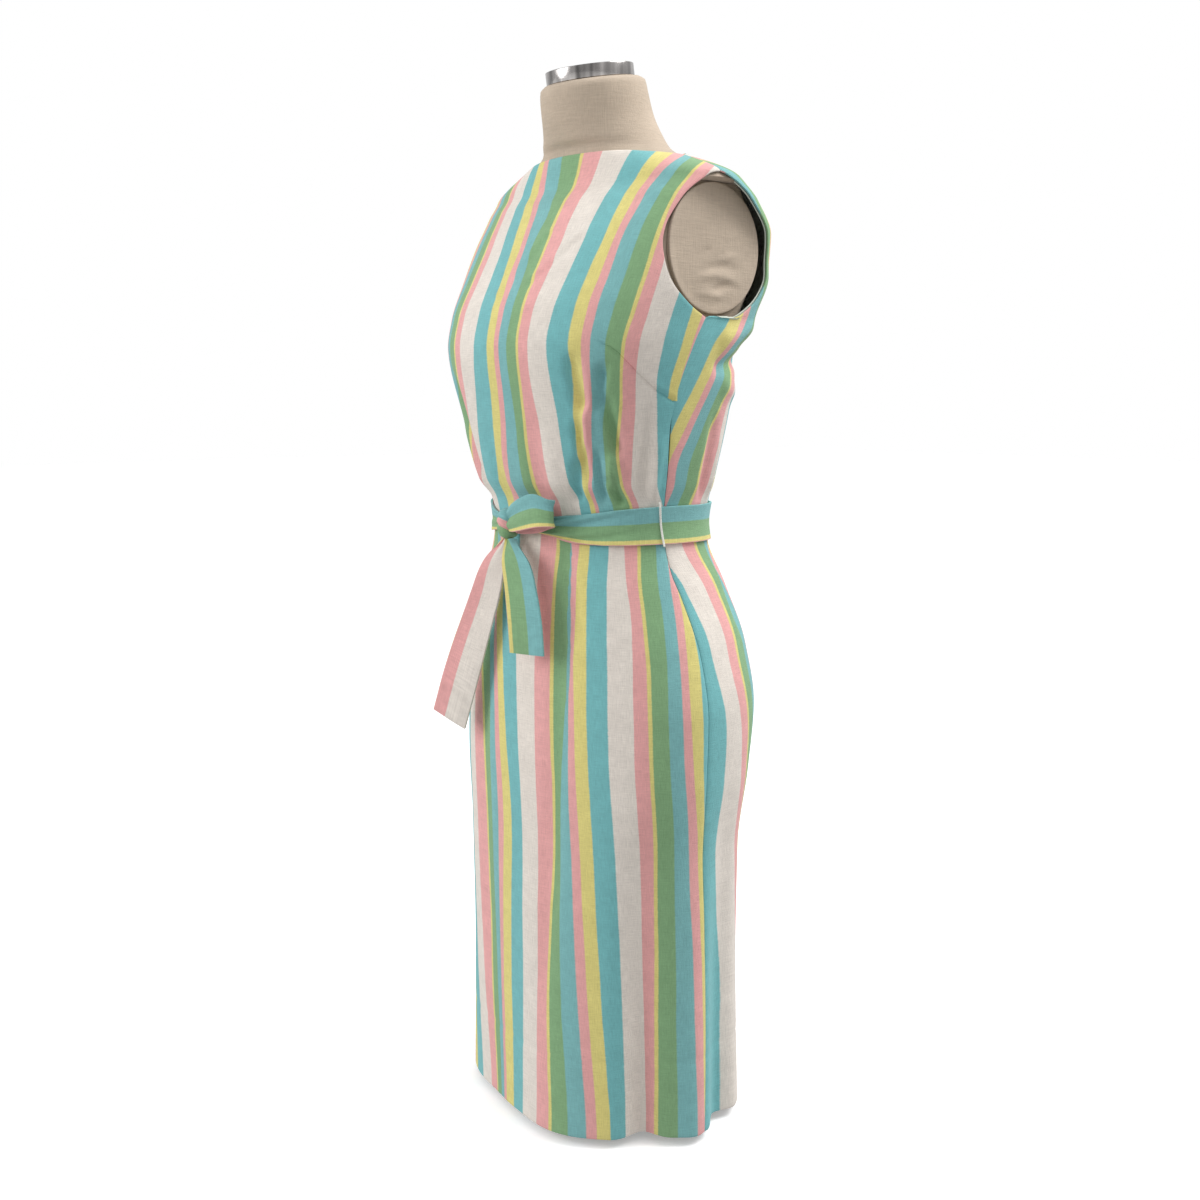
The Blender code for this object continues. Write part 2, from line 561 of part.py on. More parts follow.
def ribbon_object(name, rows, finish, collection):
    """A strip of cloth: an open grid of points with its wall from Solidify."""
    grid = bmesh.new()
    verts = [[grid.verts.new(point) for point in row] for row in rows]
    for r in range(len(verts) - 1):
        for c in range(len(verts[r]) - 1):
            grid.faces.new((verts[r][c], verts[r][c + 1], verts[r + 1][c + 1], verts[r + 1][c]))
    mesh = bpy.data.meshes.new(name)
    grid.to_mesh(mesh)
    grid.free()
    mesh.shade_smooth()
    item = place_object(name, mesh, finish, collection)
    wall = item.modifiers.new("wall", "SOLIDIFY")
    wall.thickness = RIBBON_WALL
    wall.offset = 0.0
    return item


def upright_ribbon(name, route, width, finish, collection):
    """A strip standing on its edge along a route, as in a bow's loop."""
    offsets = np.linspace(-0.5, 0.5, RIBBON_COLUMNS) * width
    rows = route[:, None, :] + offsets[None, :, None] * np.array([0.0, 0.0, 1.0])
    ribbon_object(name, rows, finish, collection)


def hanging_ribbon(name, route, slant, finish, collection):
    """A strip hanging along a route; slant cuts its lower end at an angle."""
    offsets = np.linspace(-0.5, 0.5, RIBBON_COLUMNS + 1)
    turn = np.radians(route[:, 3])
    across = np.stack([np.cos(turn), np.sin(turn), np.zeros(len(turn))], axis=-1)
    across *= route[:, 4:5]
    rows = route[:, None, :3] + offsets[None, :, None] * across[:, None, :]
    drop = (np.linspace(0, 1, len(route)) ** 3)[:, None] * offsets[None, :] * slant
    rows[..., 2] -= drop
    ribbon_object(name, rows, finish, collection)


def belt_carriers(collection):
    """The thread bars at the side seams that hold the belt."""
    reach = BELT_HALF_WIDTH + CARRIER["overhang"]
    for name, side in (("belt_carrier_left", 1), ("belt_carrier_right", -1)):
        rise = np.linspace(-reach, reach, CARRIER_ROWS)[:, None]
        spread = np.array([-0.5, 0.5])[None, :] * CARRIER["width"] / FOLD_RADIUS
        angle, rise = np.broadcast_arrays(side * math.radians(CARRIER["angle"]) + spread, rise)
        level = np.clip(rise, -BELT_HALF_WIDTH, BELT_HALF_WIDTH) + WAIST
        point = section_point(GARMENT_SECTIONS, angle, level)
        point[..., 2] = rise + WAIST
        normal = level_normal(angle, level)
        near = BELT_CLEARANCE + BELT_WALL + 3 * SEAM_GAP
        outer = point + normal * (near + CARRIER["wall"])
        inner = point + normal * near
        place_object(name, loft_walls(name, outer, inner), "facing_white", collection)


# ---------------------------------------------------------------- form
def form_torso(collection):
    angle = np.linspace(-math.pi, math.pi, FORM_COLUMNS, endpoint=False)
    rings = []
    for rise, scale in FORM_FOOT:
        ring = section_point(FORM_SECTIONS, angle, np.full(angle.shape, FORM_FLOOR + rise))
        ring[:, :2] *= scale
        rings.append(ring)
    for height in FORM_HEIGHTS:
        ring = section_point(FORM_SECTIONS, angle, np.full(angle.shape, height))
        side = float(table_value(FORM_SECTIONS, 7, np.array(height)))
        ring[:, 0] = np.clip(ring[:, 0], -side, side)
        tilt = float(table_value(FORM_SECTIONS, 8, np.array(height)))
        ring[:, 2] += tilt * (ring[:, 1] - float(table_value(FORM_SECTIONS, 4, np.array(height))))
        rings.append(ring)
    body = bmesh.new()
    verts = [[body.verts.new(point) for point in ring] for ring in rings]
    for low, high in zip(verts, verts[1:]):
        for c in range(FORM_COLUMNS):
            d = (c + 1) % FORM_COLUMNS
            body.faces.new((low[c], low[d], high[d], high[c]))
    body.faces.new(list(reversed(verts[0])))
    body.faces.new(verts[-1])
    mesh = bpy.data.meshes.new("form_torso")
    body.to_mesh(mesh)
    body.free()
    mesh.shade_smooth()
    mesh.set_sharp_from_angle(angle=SHARP_ANGLE)
    place_object("form_torso", mesh, "linen", collection)


def add_bevel(item, width, segments):
    bevel = item.modifiers.new("bevel", "BEVEL")
    bevel.width = width
    bevel.segments = segments
    bevel.limit_method = "ANGLE"
    bevel.angle_limit = BEVEL_ANGLE


def form_fittings(collection):
    cap = NECK_CAP
    bpy.ops.mesh.primitive_cylinder_add(vertices=ROUND_STEPS, radius=cap["radius"], depth=cap["depth"],
                                        location=(0, cap["y"], cap["z"]),
                                        rotation=(math.atan(NECK_TILT), 0, 0))
    add_bevel(adopt_primitive("form_neck_cap", "chrome", collection), 0.002, 1)
    plate = SHOULDER_PLATE
    for name, side in (("form_arm_plate_left", 1), ("form_arm_plate_right", -1)):
        middle = side * (plate["x"] + plate["depth"] / 2)
        bpy.ops.mesh.primitive_cylinder_add(vertices=ROUND_STEPS, radius=1, depth=plate["depth"],
                                            location=(middle, plate["y"], plate["z"]),
                                            rotation=(0, math.radians(90), 0))
        disc = adopt_primitive(name, "linen", collection)
        disc.data.transform(Matrix.Diagonal((plate["half_z"], plate["half_y"], 1.0, 1.0)))
        add_bevel(disc, 0.0015, 1)


def stand(collection):
    length = FORM_FLOOR - SEAM_GAP - BASE_HUB - SEAM_GAP
    bpy.ops.mesh.primitive_cylinder_add(vertices=POLE_STEPS, radius=POLE_RADIUS, depth=length,
                                        location=(0, 0, BASE_HUB + SEAM_GAP + length / 2))
    adopt_primitive("form_pole", "chrome", collection)
    profile = [(0.0, BASE_HUB), (0.024, BASE_HUB), (0.027, BASE_HUB - 0.003), (0.030, 0.0125),
               (0.040, 0.0110), (BASE_RADIUS - 0.004, BASE_EDGE),
               (BASE_RADIUS, BASE_EDGE - 0.003), (BASE_RADIUS, 0.0), (0.0, 0.0)]
    outline = bmesh.new()
    verts = [outline.verts.new((radius, 0.0, height)) for radius, height in profile]
    for first, second in zip(verts, verts[1:]):
        outline.edges.new((first, second))
    mesh = bpy.data.meshes.new("form_base")
    outline.to_mesh(mesh)
    outline.free()
    base = place_object("form_base", mesh, "painted_iron", collection)
    turn = base.modifiers.new("turn", "SCREW")
    turn.steps = ROUND_STEPS
    turn.render_steps = ROUND_STEPS
    turn.use_merge_vertices = True
    turn.merge_threshold = 0.00005


# ---------------------------------------------------------------- build
def main():
    clear_scene()
    collection = bpy.data.collections.new("sundress")
    bpy.context.scene.collection.children.link(collection)
    skirt_pieces(collection)
    bodice_pieces(collection)
    armhole_facings(collection)
    belt_pieces(collection)
    belt_carriers(collection)
    form_torso(collection)
    form_fittings(collection)
    stand(collection)


main()
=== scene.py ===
"""The looks of a sleeveless striped sundress on a limbless dress form.

Metres, +Z up, the front faces -Y and the wearer's left is +X. A table that
MM or in_metres scales is written in millimetres. The cloth is laid over the
same level sections as the frame's solids, only finer. Each panel's UV map
holds its place on the flat cloth in metres: u across the stripes, v along
them.
"""
import contextlib
import math

import bmesh
import bpy
import numpy as np
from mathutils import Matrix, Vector


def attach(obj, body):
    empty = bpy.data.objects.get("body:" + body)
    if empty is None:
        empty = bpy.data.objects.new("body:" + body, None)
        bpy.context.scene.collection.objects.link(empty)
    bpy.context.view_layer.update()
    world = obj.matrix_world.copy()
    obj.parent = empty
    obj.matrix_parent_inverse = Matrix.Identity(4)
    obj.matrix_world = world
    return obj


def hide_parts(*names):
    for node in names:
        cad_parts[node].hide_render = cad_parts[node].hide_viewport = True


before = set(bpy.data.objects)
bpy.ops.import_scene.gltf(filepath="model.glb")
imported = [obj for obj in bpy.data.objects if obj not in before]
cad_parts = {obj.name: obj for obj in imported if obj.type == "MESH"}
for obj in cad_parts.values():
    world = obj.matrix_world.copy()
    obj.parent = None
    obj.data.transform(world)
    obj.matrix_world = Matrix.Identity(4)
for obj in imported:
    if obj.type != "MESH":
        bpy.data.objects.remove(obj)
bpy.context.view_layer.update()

bl_info = {
    "name": "Striped Sundress",
    "version": (1, 0, 0),
    "blender": (4, 5, 0),
    "location": "View3D > Sidebar > Sundress",
    "description": "Sleeveless striped sundress with a tied sash on a dress form",
    "category": "Object",
}

# ------------------------------------------------------------ body tables
MM = 0.001


def in_metres(rows, lengths):
    """A table, of which the columns named as lengths are written in millimetres."""
    table = np.array(rows, float)
    table[:, lengths] *= MM
    return table


# columns: height, half width, front depth, back depth, centre y,
#          squareness of the front and of the back (2 is a true oval)
GARMENT_SECTIONS = in_metres((
    (0, 152, 104, 117, 0, 2.5, 2.5),
    (150, 152, 104, 112, 0, 2.4, 2.4),
    (280, 156, 106, 111, 0, 2.3, 2.3),
    (360, 164, 106, 124, 0, 2.25, 2.25),
    (420, 166, 104, 134, 0, 2.2, 2.2),
    (480, 156, 100, 126, 0, 2.2, 2.2),
    (540, 136, 95, 104, 0, 2.2, 2.2),
    (581, 122.5, 90, 85, 0, 2.2, 2.2),
    (600, 120.5, 89, 82.5, 0, 2.2, 2.2),
    (619, 123.5, 92.5, 84, 0, 2.2, 2.2),
    (640, 131, 106, 87, 0, 2.2, 2.2),
    (700, 146, 122, 96, 0, 2.25, 2.2),
    (765, 160, 134, 100, 0, 2.3, 2.15),
    (795, 164, 127, 116, 0, 2.25, 2.3),
    (830, 168, 110, 132, 2, 2.2, 2.45),
    (870, 170, 88, 132, 4, 2.1, 2.5),
    (900, 169, 67, 110, 6, 2, 2.3),
    (918, 163, 54, 86, 7, 1.95, 2.1),
    (945, 100, 50, 58, 6, 2, 2),
    (956, 76, 48, 52, 6, 2, 2),
), (0, 1, 2, 3, 4))
# the form: the last two columns are where its side is cut off flat for the
# arm plate, and how far its level tilts
FORM_SECTIONS = in_metres((
    (385, 150, 88, 110, 0, 2.2, 2.2, 200, 0),
    (420, 154, 90, 118, 0, 2.2, 2.2, 200, 0),
    (480, 146, 89, 112, 0, 2.2, 2.2, 200, 0),
    (540, 127, 86, 93, 0, 2.2, 2.2, 200, 0),
    (600, 115.5, 84, 77.5, 0, 2.2, 2.2, 200, 0),
    (640, 118, 89, 78, 0, 2.2, 2.2, 200, 0),
    (700, 132, 104, 84, 0, 2.2, 2.2, 200, 0),
    (765, 149, 123, 88, 0, 2.25, 2.15, 200, 0),
    (781, 151, 119, 94, 0, 2.25, 2.25, 150, 0),
    (791, 153, 116, 98, 0, 2.25, 2.3, 141, 0),
    (830, 160, 100, 110, 2, 2.2, 2.4, 141, 0),
    (870, 163, 79, 110, 4, 2.1, 2.4, 141, 0),
    (904, 160, 58, 90, 6, 2, 2.2, 141, 0),
    (913, 160, 52, 82, 7, 1.95, 2.1, 141, 0),
    (914.8, 160, 51, 79.5, 7, 1.95, 2.1, 170, 0),
    (941.8, 97.5, 47, 52, 6, 2, 2, 200, 0),
    (952.4, 78, 46.5, 50, 6, 2, 2, 200, 0),
    (963, 68, 51.5, 50, 4, 2, 2, 200, 0.05),
    (985, 56.5, 51.5, 51.5, -3, 2, 2, 200, 0.1),
    (1008, 52, 51, 51, -8, 2, 2, 200, 0.15),
    (1015, 50.5, 50, 50, -9, 2, 2, 200, 0.156),
    (1018.5, 45.5, 45.5, 45.5, -10, 2, 2, 200, 0.156),
), (0, 1, 2, 3, 4, 7))
FORM_FOOT = in_metres(((0, 0.93), (4, 0.975), (12, 1)), (0,))      # rise, scale
FORM_FLOOR = 0.385

# side seam: height, angle from the front (degrees)
SIDE_SEAM = in_metres((
    (0, 90), (140, 91), (240, 90), (340, 88), (466, 87), (532, 82.5), (555, 79.5), (600, 78),
    (660, 77), (712, 76), (774, 83), (790, 86),
), (0,))
# armhole edge from the underarm up to the shoulder tip: angle, height
ARMHOLE_FRONT = in_metres((
    (86, 790), (77.5, 802), (67, 822), (60.5, 844), (57.5, 862), (58, 882), (63.5, 904),
    (76, 917), (90, 921),
), (1,))
ARMHOLE_BACK = in_metres((
    (86, 790), (101, 791), (113, 804), (119, 825), (120.5, 846), (118, 869), (112, 890),
    (103, 909), (90, 921),
), (1,))
# neckline from the centre out to the shoulder: angle, height
NECKLINE_FRONT = in_metres(((0, 947), (41, 946.2), (62, 943.5), (90, 940),), (1,))
NECKLINE_BACK = in_metres(((180, 950), (140, 949), (114, 946), (90, 940),), (1,))
NECK_SHARE = 0.6875       # part of the top edge that is neckline

# folds: angle and height of the upper end, angle and height of the lower
# end, half width, depth at the upper and the lower end (+ out, - in)
SKIRT_FOLDS = in_metres((
    (12, 300, 16, -20, 75, 0, 16),
    (58, 360, 61, -20, 42, 0, -23),
    (87, 300, 87, -20, 24, 0, 10),
    (101, 420, 104, -20, 30, 0, -14),
    (21, 600, 12, 80, 17, -3, -3),
    (20, 592, 28, 480, 15, -4, -2),
    (-28, 590, -20, 470, 16, -4, -2),
    (-22, 500, -18, 100, 20, -3, -2),
    (-60, 350, -64, -20, 46, 0, -15),
    (-91, 280, -92, -20, 26, 0, 9),
    (138, 250, 140, -20, 40, 0, -7),
    (-112, 330, -108, -20, 32, 0, -10),
    (-146, 400, -143, -20, 48, 0, -15),
    (125, 590, 121, 480, 17, -4, -2),
    (-122, 590, -127, 490, 16, -4, -2),
    (158, 585, 160, 500, 18, -3, -1),
    (-160, 585, -157, 470, 18, -3, -1),
), (1, 3, 4, 5, 6))
BODICE_FOLDS = in_metres((
    (33, 762, 37.8, 700, 12, -6, -7),
    (34.4, 704, 38.3, 632, 10, -6, -7),
    (39.5, 716, 37.6, 668, 7, 4, 4),
    (34.6, 668, 30.5, 619, 10, -6, -7),
    (46.5, 752, 43, 700, 9, -8, -6),
    (46, 728, 53, 660, 10, -7, -9),
    (42.5, 676, 44.5, 619, 8, -6, -7),
    (50, 674, 49, 628, 7, 3, 6),
    (47, 650, 53.5, 618, 9, -5, -6.5),
    (57, 762, 55, 612, 38, -2, -2),
    (66, 722, 64, 616, 11, -3, -6),
    (72.5, 690, 70.5, 614, 9, 1.5, 3.5),
    (21, 672, 24, 616, 12, 1, 3),
    (15, 720, 12, 617, 17, -1, -4),
    (-9, 700, -8, 617, 17, -1, -4),
    (-31, 755, -29, 617, 13, -3.5, -6.5),
    (-40, 700, -37, 617, 10, 1, 3),
    (-48, 745, -45, 617, 11, -4, -5.5),
    (-56, 762, -55, 612, 38, -3, -3),
    (-67, 690, -64, 617, 12, -2, -4.5),
    (99, 710, 102, 617, 13, -3, -5.5),
    (110, 690, 112, 617, 10, 1, 3),
    (122, 740, 124, 617, 14, -3, -7),
    (136, 680, 137, 617, 12, 1, 3),
    (147, 720, 148, 617, 14, -3, -6),
    (-104, 720, -106, 617, 13, -3, -6),
    (-118, 690, -118, 617, 11, 1, 3),
    (-130, 740, -129, 617, 14, -3, -6.5),
    (-154, 710, -152, 617, 14, -3, -5.5),
    (123, 850, 118, 765, 30, 1, 6),
    (-123, 850, -118, 765, 30, 1, 5),
), (1, 3, 4, 5, 6))
FOLD_FADE = 0.25          # share of a fold's length over which it dies out
FOLD_RADIUS = 0.13        # turns a fold's angle into a distance on the cloth

# sewn lines and creases: angle and height of one end, of the other end,
# half width, depth (+ out, - in)
BODICE_CREASES = in_metres((
    (-2, 815, 6.5, 872, 4, 0.9), (-1, 812, 8, 868, 4.5, -1), (22, 868, 8, 826, 4, 1.1),
    (23, 863, 9.5, 822, 3.5, -1.1), (96, 748, 132, 756, 7.5, -6), (98, 772, 128, 779, 10, 4),
    (104, 728, 136, 722, 9, 3), (-98, 750, -134, 760, 7.5, -5.5),
    (-100, 774, -130, 782, 10, 3.5),
), (1, 3, 4, 5))
SKIRT_CREASES = in_metres((
    (23.8, 581, 27.6, 535, 1.6, -0.9), (27.6, 535, 23.1, 484, 4, -1.2),
    (-23.8, 581, -27.6, 535, 1.6, -0.9), (-88, 85.4, 88, 85.4, 3.6, -0.5),
    (92, 85.4, 178, 85.4, 3.6, -0.5), (-178, 85.4, -92, 85.4, 3.6, -0.5),
), (1, 3, 4, 5))

# stripe edges on the skirt's front: place on the flat cloth, then distance
# round from the centre front at the heights named first
SKIRT_EDGES = MM * np.array((
    (0, 20, 160, 320, 450, 500, 540, 570),
    (-115.2, -53.9, -76.6, -87, -95, -98, -100, -101),
    (-102.2, -40.1, -56.3, -64.5, -79, -83, -85, -86),
    (-81.7, -29.1, -40.5, -49, -56, -62, -66, -68),
    (-55.7, -18.2, -26.4, -23.6, -38.5, -48, -52, -54),
    (-42, -0.8, -9.4, -9.2, -28.1, -35.2, -38, -40),
    (-22, 15.5, 11.8, 6.7, -4.7, -11.6, -13, -14),
    (0, 39.7, 33.9, 30.6, 22.8, 20.5, 19, 18.2),
    (13, 56.7, 45.3, 50.5, 44, 40.9, 40, 39),
    (17, 60, 48.8, 54, 47.5, 44.5, 43.5, 42.5),
    (33.5, 77.5, 63.2, 58.4, 65.5, 61.6, 56, 55.2),
    (49, 94.6, 80.9, 72.2, 66.8, 65.5, 57, 55.6),
    (59.5, 104.3, 91.2, 82.5, 73.9, 67.1, 66.2, 65.8),
    (73.2, 117, 104.6, 97, 88.3, 83.1, 79.3, 75.9),
    (93.2, 129.9, 125, 119.2, 110.7, 105.4, 99.9, 94.4),
    (115.2, 154.2, 146.8, 143.6, 135.9, 129.7, 121.6, 107.3),
    (128.2, 162, 158.6, 157.1, 149.5, 140.7, 129.8, 120.5),
    (132.2, 165.8, 162.6, 160.7, 153.3, 144.3, 132.9, 123.5),
    (148.7, 182.9, 179, 177.1, 168.5, 160.2, 150.1, 138),
    (164.2, 200.3, 196.6, 192, 181.7, 171.8, 162.4, 149.8),
    (174.7, 211.4, 207.6, 202.2, 189.3, 179.7, 170.7, 156),
    (188.4, 219.7, 214.9, 211.1, 203.4, 191.4, 175, 164),
))
# the same on the skirt's left back; the first stripe edge also lays out the right
SKIRT_BACK_EDGES = MM * np.array((
    (0, 20, 160, 320, 450, 500, 540, 570),
    (188.4, 209, 205, 202, 196, 182, 163, 144),
    (208.4, 257, 250, 232, 220, 204, 176.8, 152),
    (230.4, 290, 284, 268, 242, 229, 205, 178),
    (243.4, 302, 297, 283, 258, 245.5, 222, 194),
    (263.9, 320, 315, 302, 280, 271, 245, 214),
))
# the bodice's front above the darts; its cloth lies the other way round
BODICE_EDGES = MM * np.array((
    (0, 630, 650, 670, 690, 710, 730, 765, 800, 830, 860, 890, 915, 935),
    (115.2, -198.2, -193.5, -188.9, -184.2, -179.2, -174.2, -171.5, -174.6, -176.6, -178.2,
     -180, -182, -178),
    (0, -83, -78.3, -73.7, -69, -64, -59, -56.3, -59.4, -61.4, -63, -78.8, -93, -86),
    (-22, -60, -55.6, -51.1, -46.7, -39.6, -32.6, -26.3, -28.5, -35.4, -40.4, -56.8, -72.6,
     -62.9),
    (-42, -34.4, -28.1, -21.9, -15.6, -11.2, -6.7, -4.6, -7.1, -14.5, -22.3, -37.5, -56.3,
     -47),
    (-55.7, -20.6, -14.6, -8.7, -2.7, 1.3, 5.2, 7.2, 3.8, -5.1, -7.2, -21, -42.4, -35.6),
    (-66.2, -10, -4.8, 0.3, 5.5, 9, 12.6, 13.5, 11.6, 4.6, -0.8, -13.3, -31.1, -26.9),
    (-81.7, 10.6, 14, 17.3, 20.7, 22.2, 23.8, 24.9, 23.7, 18, 9, 8.2, -10.2, -4.2),
    (-98.2, 22.2, 24.6, 27, 29.4, 32.8, 36.2, 37.9, 35.4, 31.6, 28.8, 19.1, 14.1, 22.3),
    (-102.2, 25.5, 27.9, 30.4, 32.8, 36.1, 39.3, 40.8, 38.5, 34.5, 32, 22.8, 17.5, 26.2),
    (-115.2, 46.1, 47.3, 48.5, 49.7, 50.2, 50.6, 52.5, 51, 50.1, 49.9, 41.9, 38.8, 48.5),
    (-137.2, 68.1, 69.6, 71, 72.5, 72.9, 73.3, 73.3, 74.7, 74.9, 75.9, 71.5, 70.4, 79.8),
    (-157.2, 78.6, 82.7, 84.6, 87.5, 90.4, 94.6, 96.1, 96.5, 95.4, 97.8, 94.4, 93.3, 104.8),
    (-170.9, 83.4, 91.5, 93.8, 95.6, 100.4, 105.1, 108.7, 109.1, 108.7, 107.9, 107.6, 106.5,
     122.1),
    (-181.4, 86.4, 95.4, 100.3, 104.4, 108.3, 112.8, 117.1, 118.2, 117.2, 115.3, 116.7, 115.6,
     135.5),
    (-196.9, 100.8, 109, 112, 114, 119, 127.4, 130.3, 133.7, 133.1, 131.1, 130.3, 132, 143.7),
    (-213.4, 116.7, 119.3, 121.3, 127.6, 134.1, 138.5, 145.3, 150, 148.4, 146.3, 144, 146.7,
     160.3),
    (-217.4, 119.2, 122.3, 124.5, 130.4, 136.9, 141.1, 148.3, 154.3, 152.6, 151, 147.5, 150,
     164),
    (-230.4, 124.5, 132.2, 137.7, 143.4, 148.7, 153.2, 160.5, 165.8, 163.7, 160, 159, 164,
     176),
    (-252.4, 148.1, 155.5, 160.6, 164.8, 168.3, 171.9, 183.5, 187.6, 188, 185, 184, 187, 200),
    (-272.4, 156, 164, 169, 173, 178, 184, 202.5, 206.5, 206, 206, 206, 210, 220),
    (-286.1, 162, 170, 176, 182, 190, 194.5, 212.5, 219.5, 223, 228, 228, 230, 240),
))
# below the darts the two outermost edges run past the side seam
UNDER_DART = {-272.4: 15, -286.1: 17}
# the sewn line of the dart: angle from the front, height
DART_LINE = in_metres((
    (0, 742), (28, 752), (41.5, 770.5), (48, 764), (52, 758.7), (60.3, 740.4), (68.5, 724.5),
    (75.8, 715.5), (78, 714),
), (1,))
# the bodice's left back
BODICE_BACK_EDGES = MM * np.array((
    (0, 627, 660, 700, 740, 790), (-252.4, 130, 145, 168, 190, 223.5),
    (-272.4, 145, 160, 186.5, 220, 255.1), (-286.1, 152, 169, 201, 233, 276),
    (-332.6, 191, 212, 237, 270, 318), (-345.6, 206.3, 231.5, 251, 282, 332),
))
FLAT_BACK = (0.860, 0.950)         # heights where the back's stripes lie side by side
BODICE_CENTRE_PLACE = -0.4928      # place on the cloth at the bodice's centre back
SKIRT_CENTRE_PLACE = 0.3998        # and at the skirt's

# the sash round the waist: angle, height of its lower and its upper edge
SASH_EDGES = in_metres((
    (-180, 581.5, 618.5), (-110, 582, 618), (-70, 583, 619), (-40, 585, 612), (-22, 590, 605),
    (-10, 591.5, 603.5), (8, 590.5, 603.5), (30, 583, 610), (45, 582, 614), (75, 583.5, 618.5),
    (110, 583.5, 618), (180, 581.5, 618.5),
), (1, 2))
# the loop's middle line: x, y, z
LOOP_ROUTE = in_metres((
    (-3.7, -103.1, 601.5), (12, -102.5, 604), (30, -101.5, 608), (43, -99.5, 612.5),
    (52.5, -100.5, 614.5), (57, -105, 615), (53.5, -110.5, 615), (41, -115, 613),
    (18, -115, 607), (-5.5, -110, 601),
), (0, 1, 2))
# the loose ends' routes: x, y, z, turn about the vertical, width
SHORT_END = in_metres((
    (-10, -105, 583.6, 2, 14), (11, -114, 564, 9, 34), (24, -118, 538, 15, 38),
    (31.3, -119, 508, 18, 39), (33.8, -118.5, 478, 18, 39),
), (0, 1, 2, 4))
LONG_END = in_metres((
    (-19, -101.2, 583.4, 2, 12), (-32.8, -107, 560, 8, 27), (-43, -112, 525, 14, 35),
    (-60, -116.5, 480, 19, 38), (-77.8, -119.5, 435, 21, 39), (-94.4, -120.5, 395, 21, 39),
), (0, 1, 2, 4))
# the loose ends: name, node, slot, route, slant of the cut, place on the cloth
# at the left and at the right edge, depth of the waves
SASH_ENDS = (
    ("sash_short_end_cloth", "belt_end_short", "cloth_belt", SHORT_END, 0.0,
     0.0130, 0.0478, 0.0006),
    ("sash_long_end_cloth", "belt_end_long", "cloth_pink", LONG_END, 0.016,
     0.0130, -0.0215, 0.0012),
)
SASH_FOLD = 0.0125        # place on the cloth of the sash's lower fold
SASH_TOP = 0.0485         # and of its upper edge
SASH_WALL = 0.0022        # two layers of cloth
SASH_CLEAR = 0.0007       # gap between the sash and the dress under it
SASH_REACH = 0.019        # how far from the waist the sash follows the body
SASH_RADIUS = 0.105       # turns an angle into a length along the sash
SASH_SPAN, SASH_ROUNDS = 13, 3     # points and rounds over which its edges are evened
# creases of the sash: waves up it, waves round it, height
KNOT_GATHERS = ((13.0, -6.0, 0.00160), (23.0, -9.0, 0.00096))
SIDE_GATHERS = ((5.0, 3.0, 0.00056),)
KNOT_PULL = (math.radians(5), math.radians(36))    # middle and reach round the waist
SIDE_PULL = (0.9, 0.5)
KNOT_SINK = 0.0002        # how far in the gathers at the knot lie
SASH_LIFT = 0.0005        # and how far out the whole sash
# the loop's width and rise: at its start, and what its belly, its outer fold
# and its inner side add
LOOP_WIDTH = (0.020, 0.014, -0.008, -0.004)
LOOP_RISE = (0.0, 0.0015, -0.004, -0.003)
LOOP_FOLD = (0.50, 0.11)  # middle and reach along the loop
LOOP_INSIDE = (0.34, 0.13)
LOOP_TILT = 0.0010
LOOP_RIPPLE = 0.0011
LOOP_BELLY = 0.0016
LOOP_LENGTH = 0.16
END_GATHER = 0.0022       # depth of the gathers where a loose end leaves the knot
END_GATHER_REACH = 0.16   # and their share of its length
KNOT = {"x": -0.0145, "y": -0.1031, "z": 0.5985,
        "half_x": 0.0110, "half_y": 0.0116, "half_z": 0.0150,
        "squareness": 0.82, "half_strand": 0.20, "lift": 0.10, "slant": 0.25,
        "slant_turn": math.radians(40), "groove": 0.14, "groove_width": 0.075,
        "pleats": 11.0, "pleat_wander": 1.5, "pleat": 0.022, "radius": 0.013}
# the knot's lower, middle and upper strand: place on the cloth, how fast it
# changes, and where the strand lies
KNOT_STRANDS = ((0.0245, 0.006, 0.6), (0.0060, 0.010, 0.0), (0.0420, 0.004, -0.6))
# the thread bars at the side seams: low and high count from the waist
CARRIER = {"low": -0.0190, "high": 0.0225, "turn": math.radians(75.0),
           "lean": math.radians(1.6), "half_depth": 0.0006, "half_width": 0.0011,
           "twist": 0.16, "twists": 3600.0, "radius": 0.0007}

ARM_PLATE = {"x": 0.1413, "depth": 0.0042, "y": 0.0150, "z": 0.8535,
             "half_y": 0.0566, "half_z": 0.0592, "rim": 0.88}
# insets of its outer face: width and lift
ARM_PLATE_STEPS = ((0.0025, 0.0), (0.0040, -0.0006), *((0.0022, 0.00006),) * 20)
PLATE_FACE = 0.0017       # how far below its outer face the cover is creased
# creases in its cover: y and z of the middle, half length, half width, slant
# (degrees), depth as a share of the crinkle setting
PLATE_CREASES = in_metres((
    (22, 838, 20, 3.5, 4, -1), (18, 829, 24, 4, -3, 1), (26, 820, 16, 3.5, 12, -1.2),
    (30, 846, 12, 3, 20, 0.7), (12, 812, 18, 4, -6, 0.9), (6, 851, 14, 4, 8, -0.5),
    (30, 806, 10, 3, -14, -0.8), (34, 866, 10, 4.5, 30, 0.5),
), (0, 1, 2, 3))
CREASE_BOW = 0.003        # how far a crease's ends bend down
NECK_CAP = {"radius": 0.0425, "depth": 0.0125, "y": -0.0125, "z": 1.0248, "tilt": 0.156}
NECK_CAP_STEPS = ((0.0030, 0.0), (0.0008, -0.0016), (0.020, 0.0008))
POLE = {"radius": 0.016, "length": 0.3634, "foot": 0.0213, "rim": 0.003}
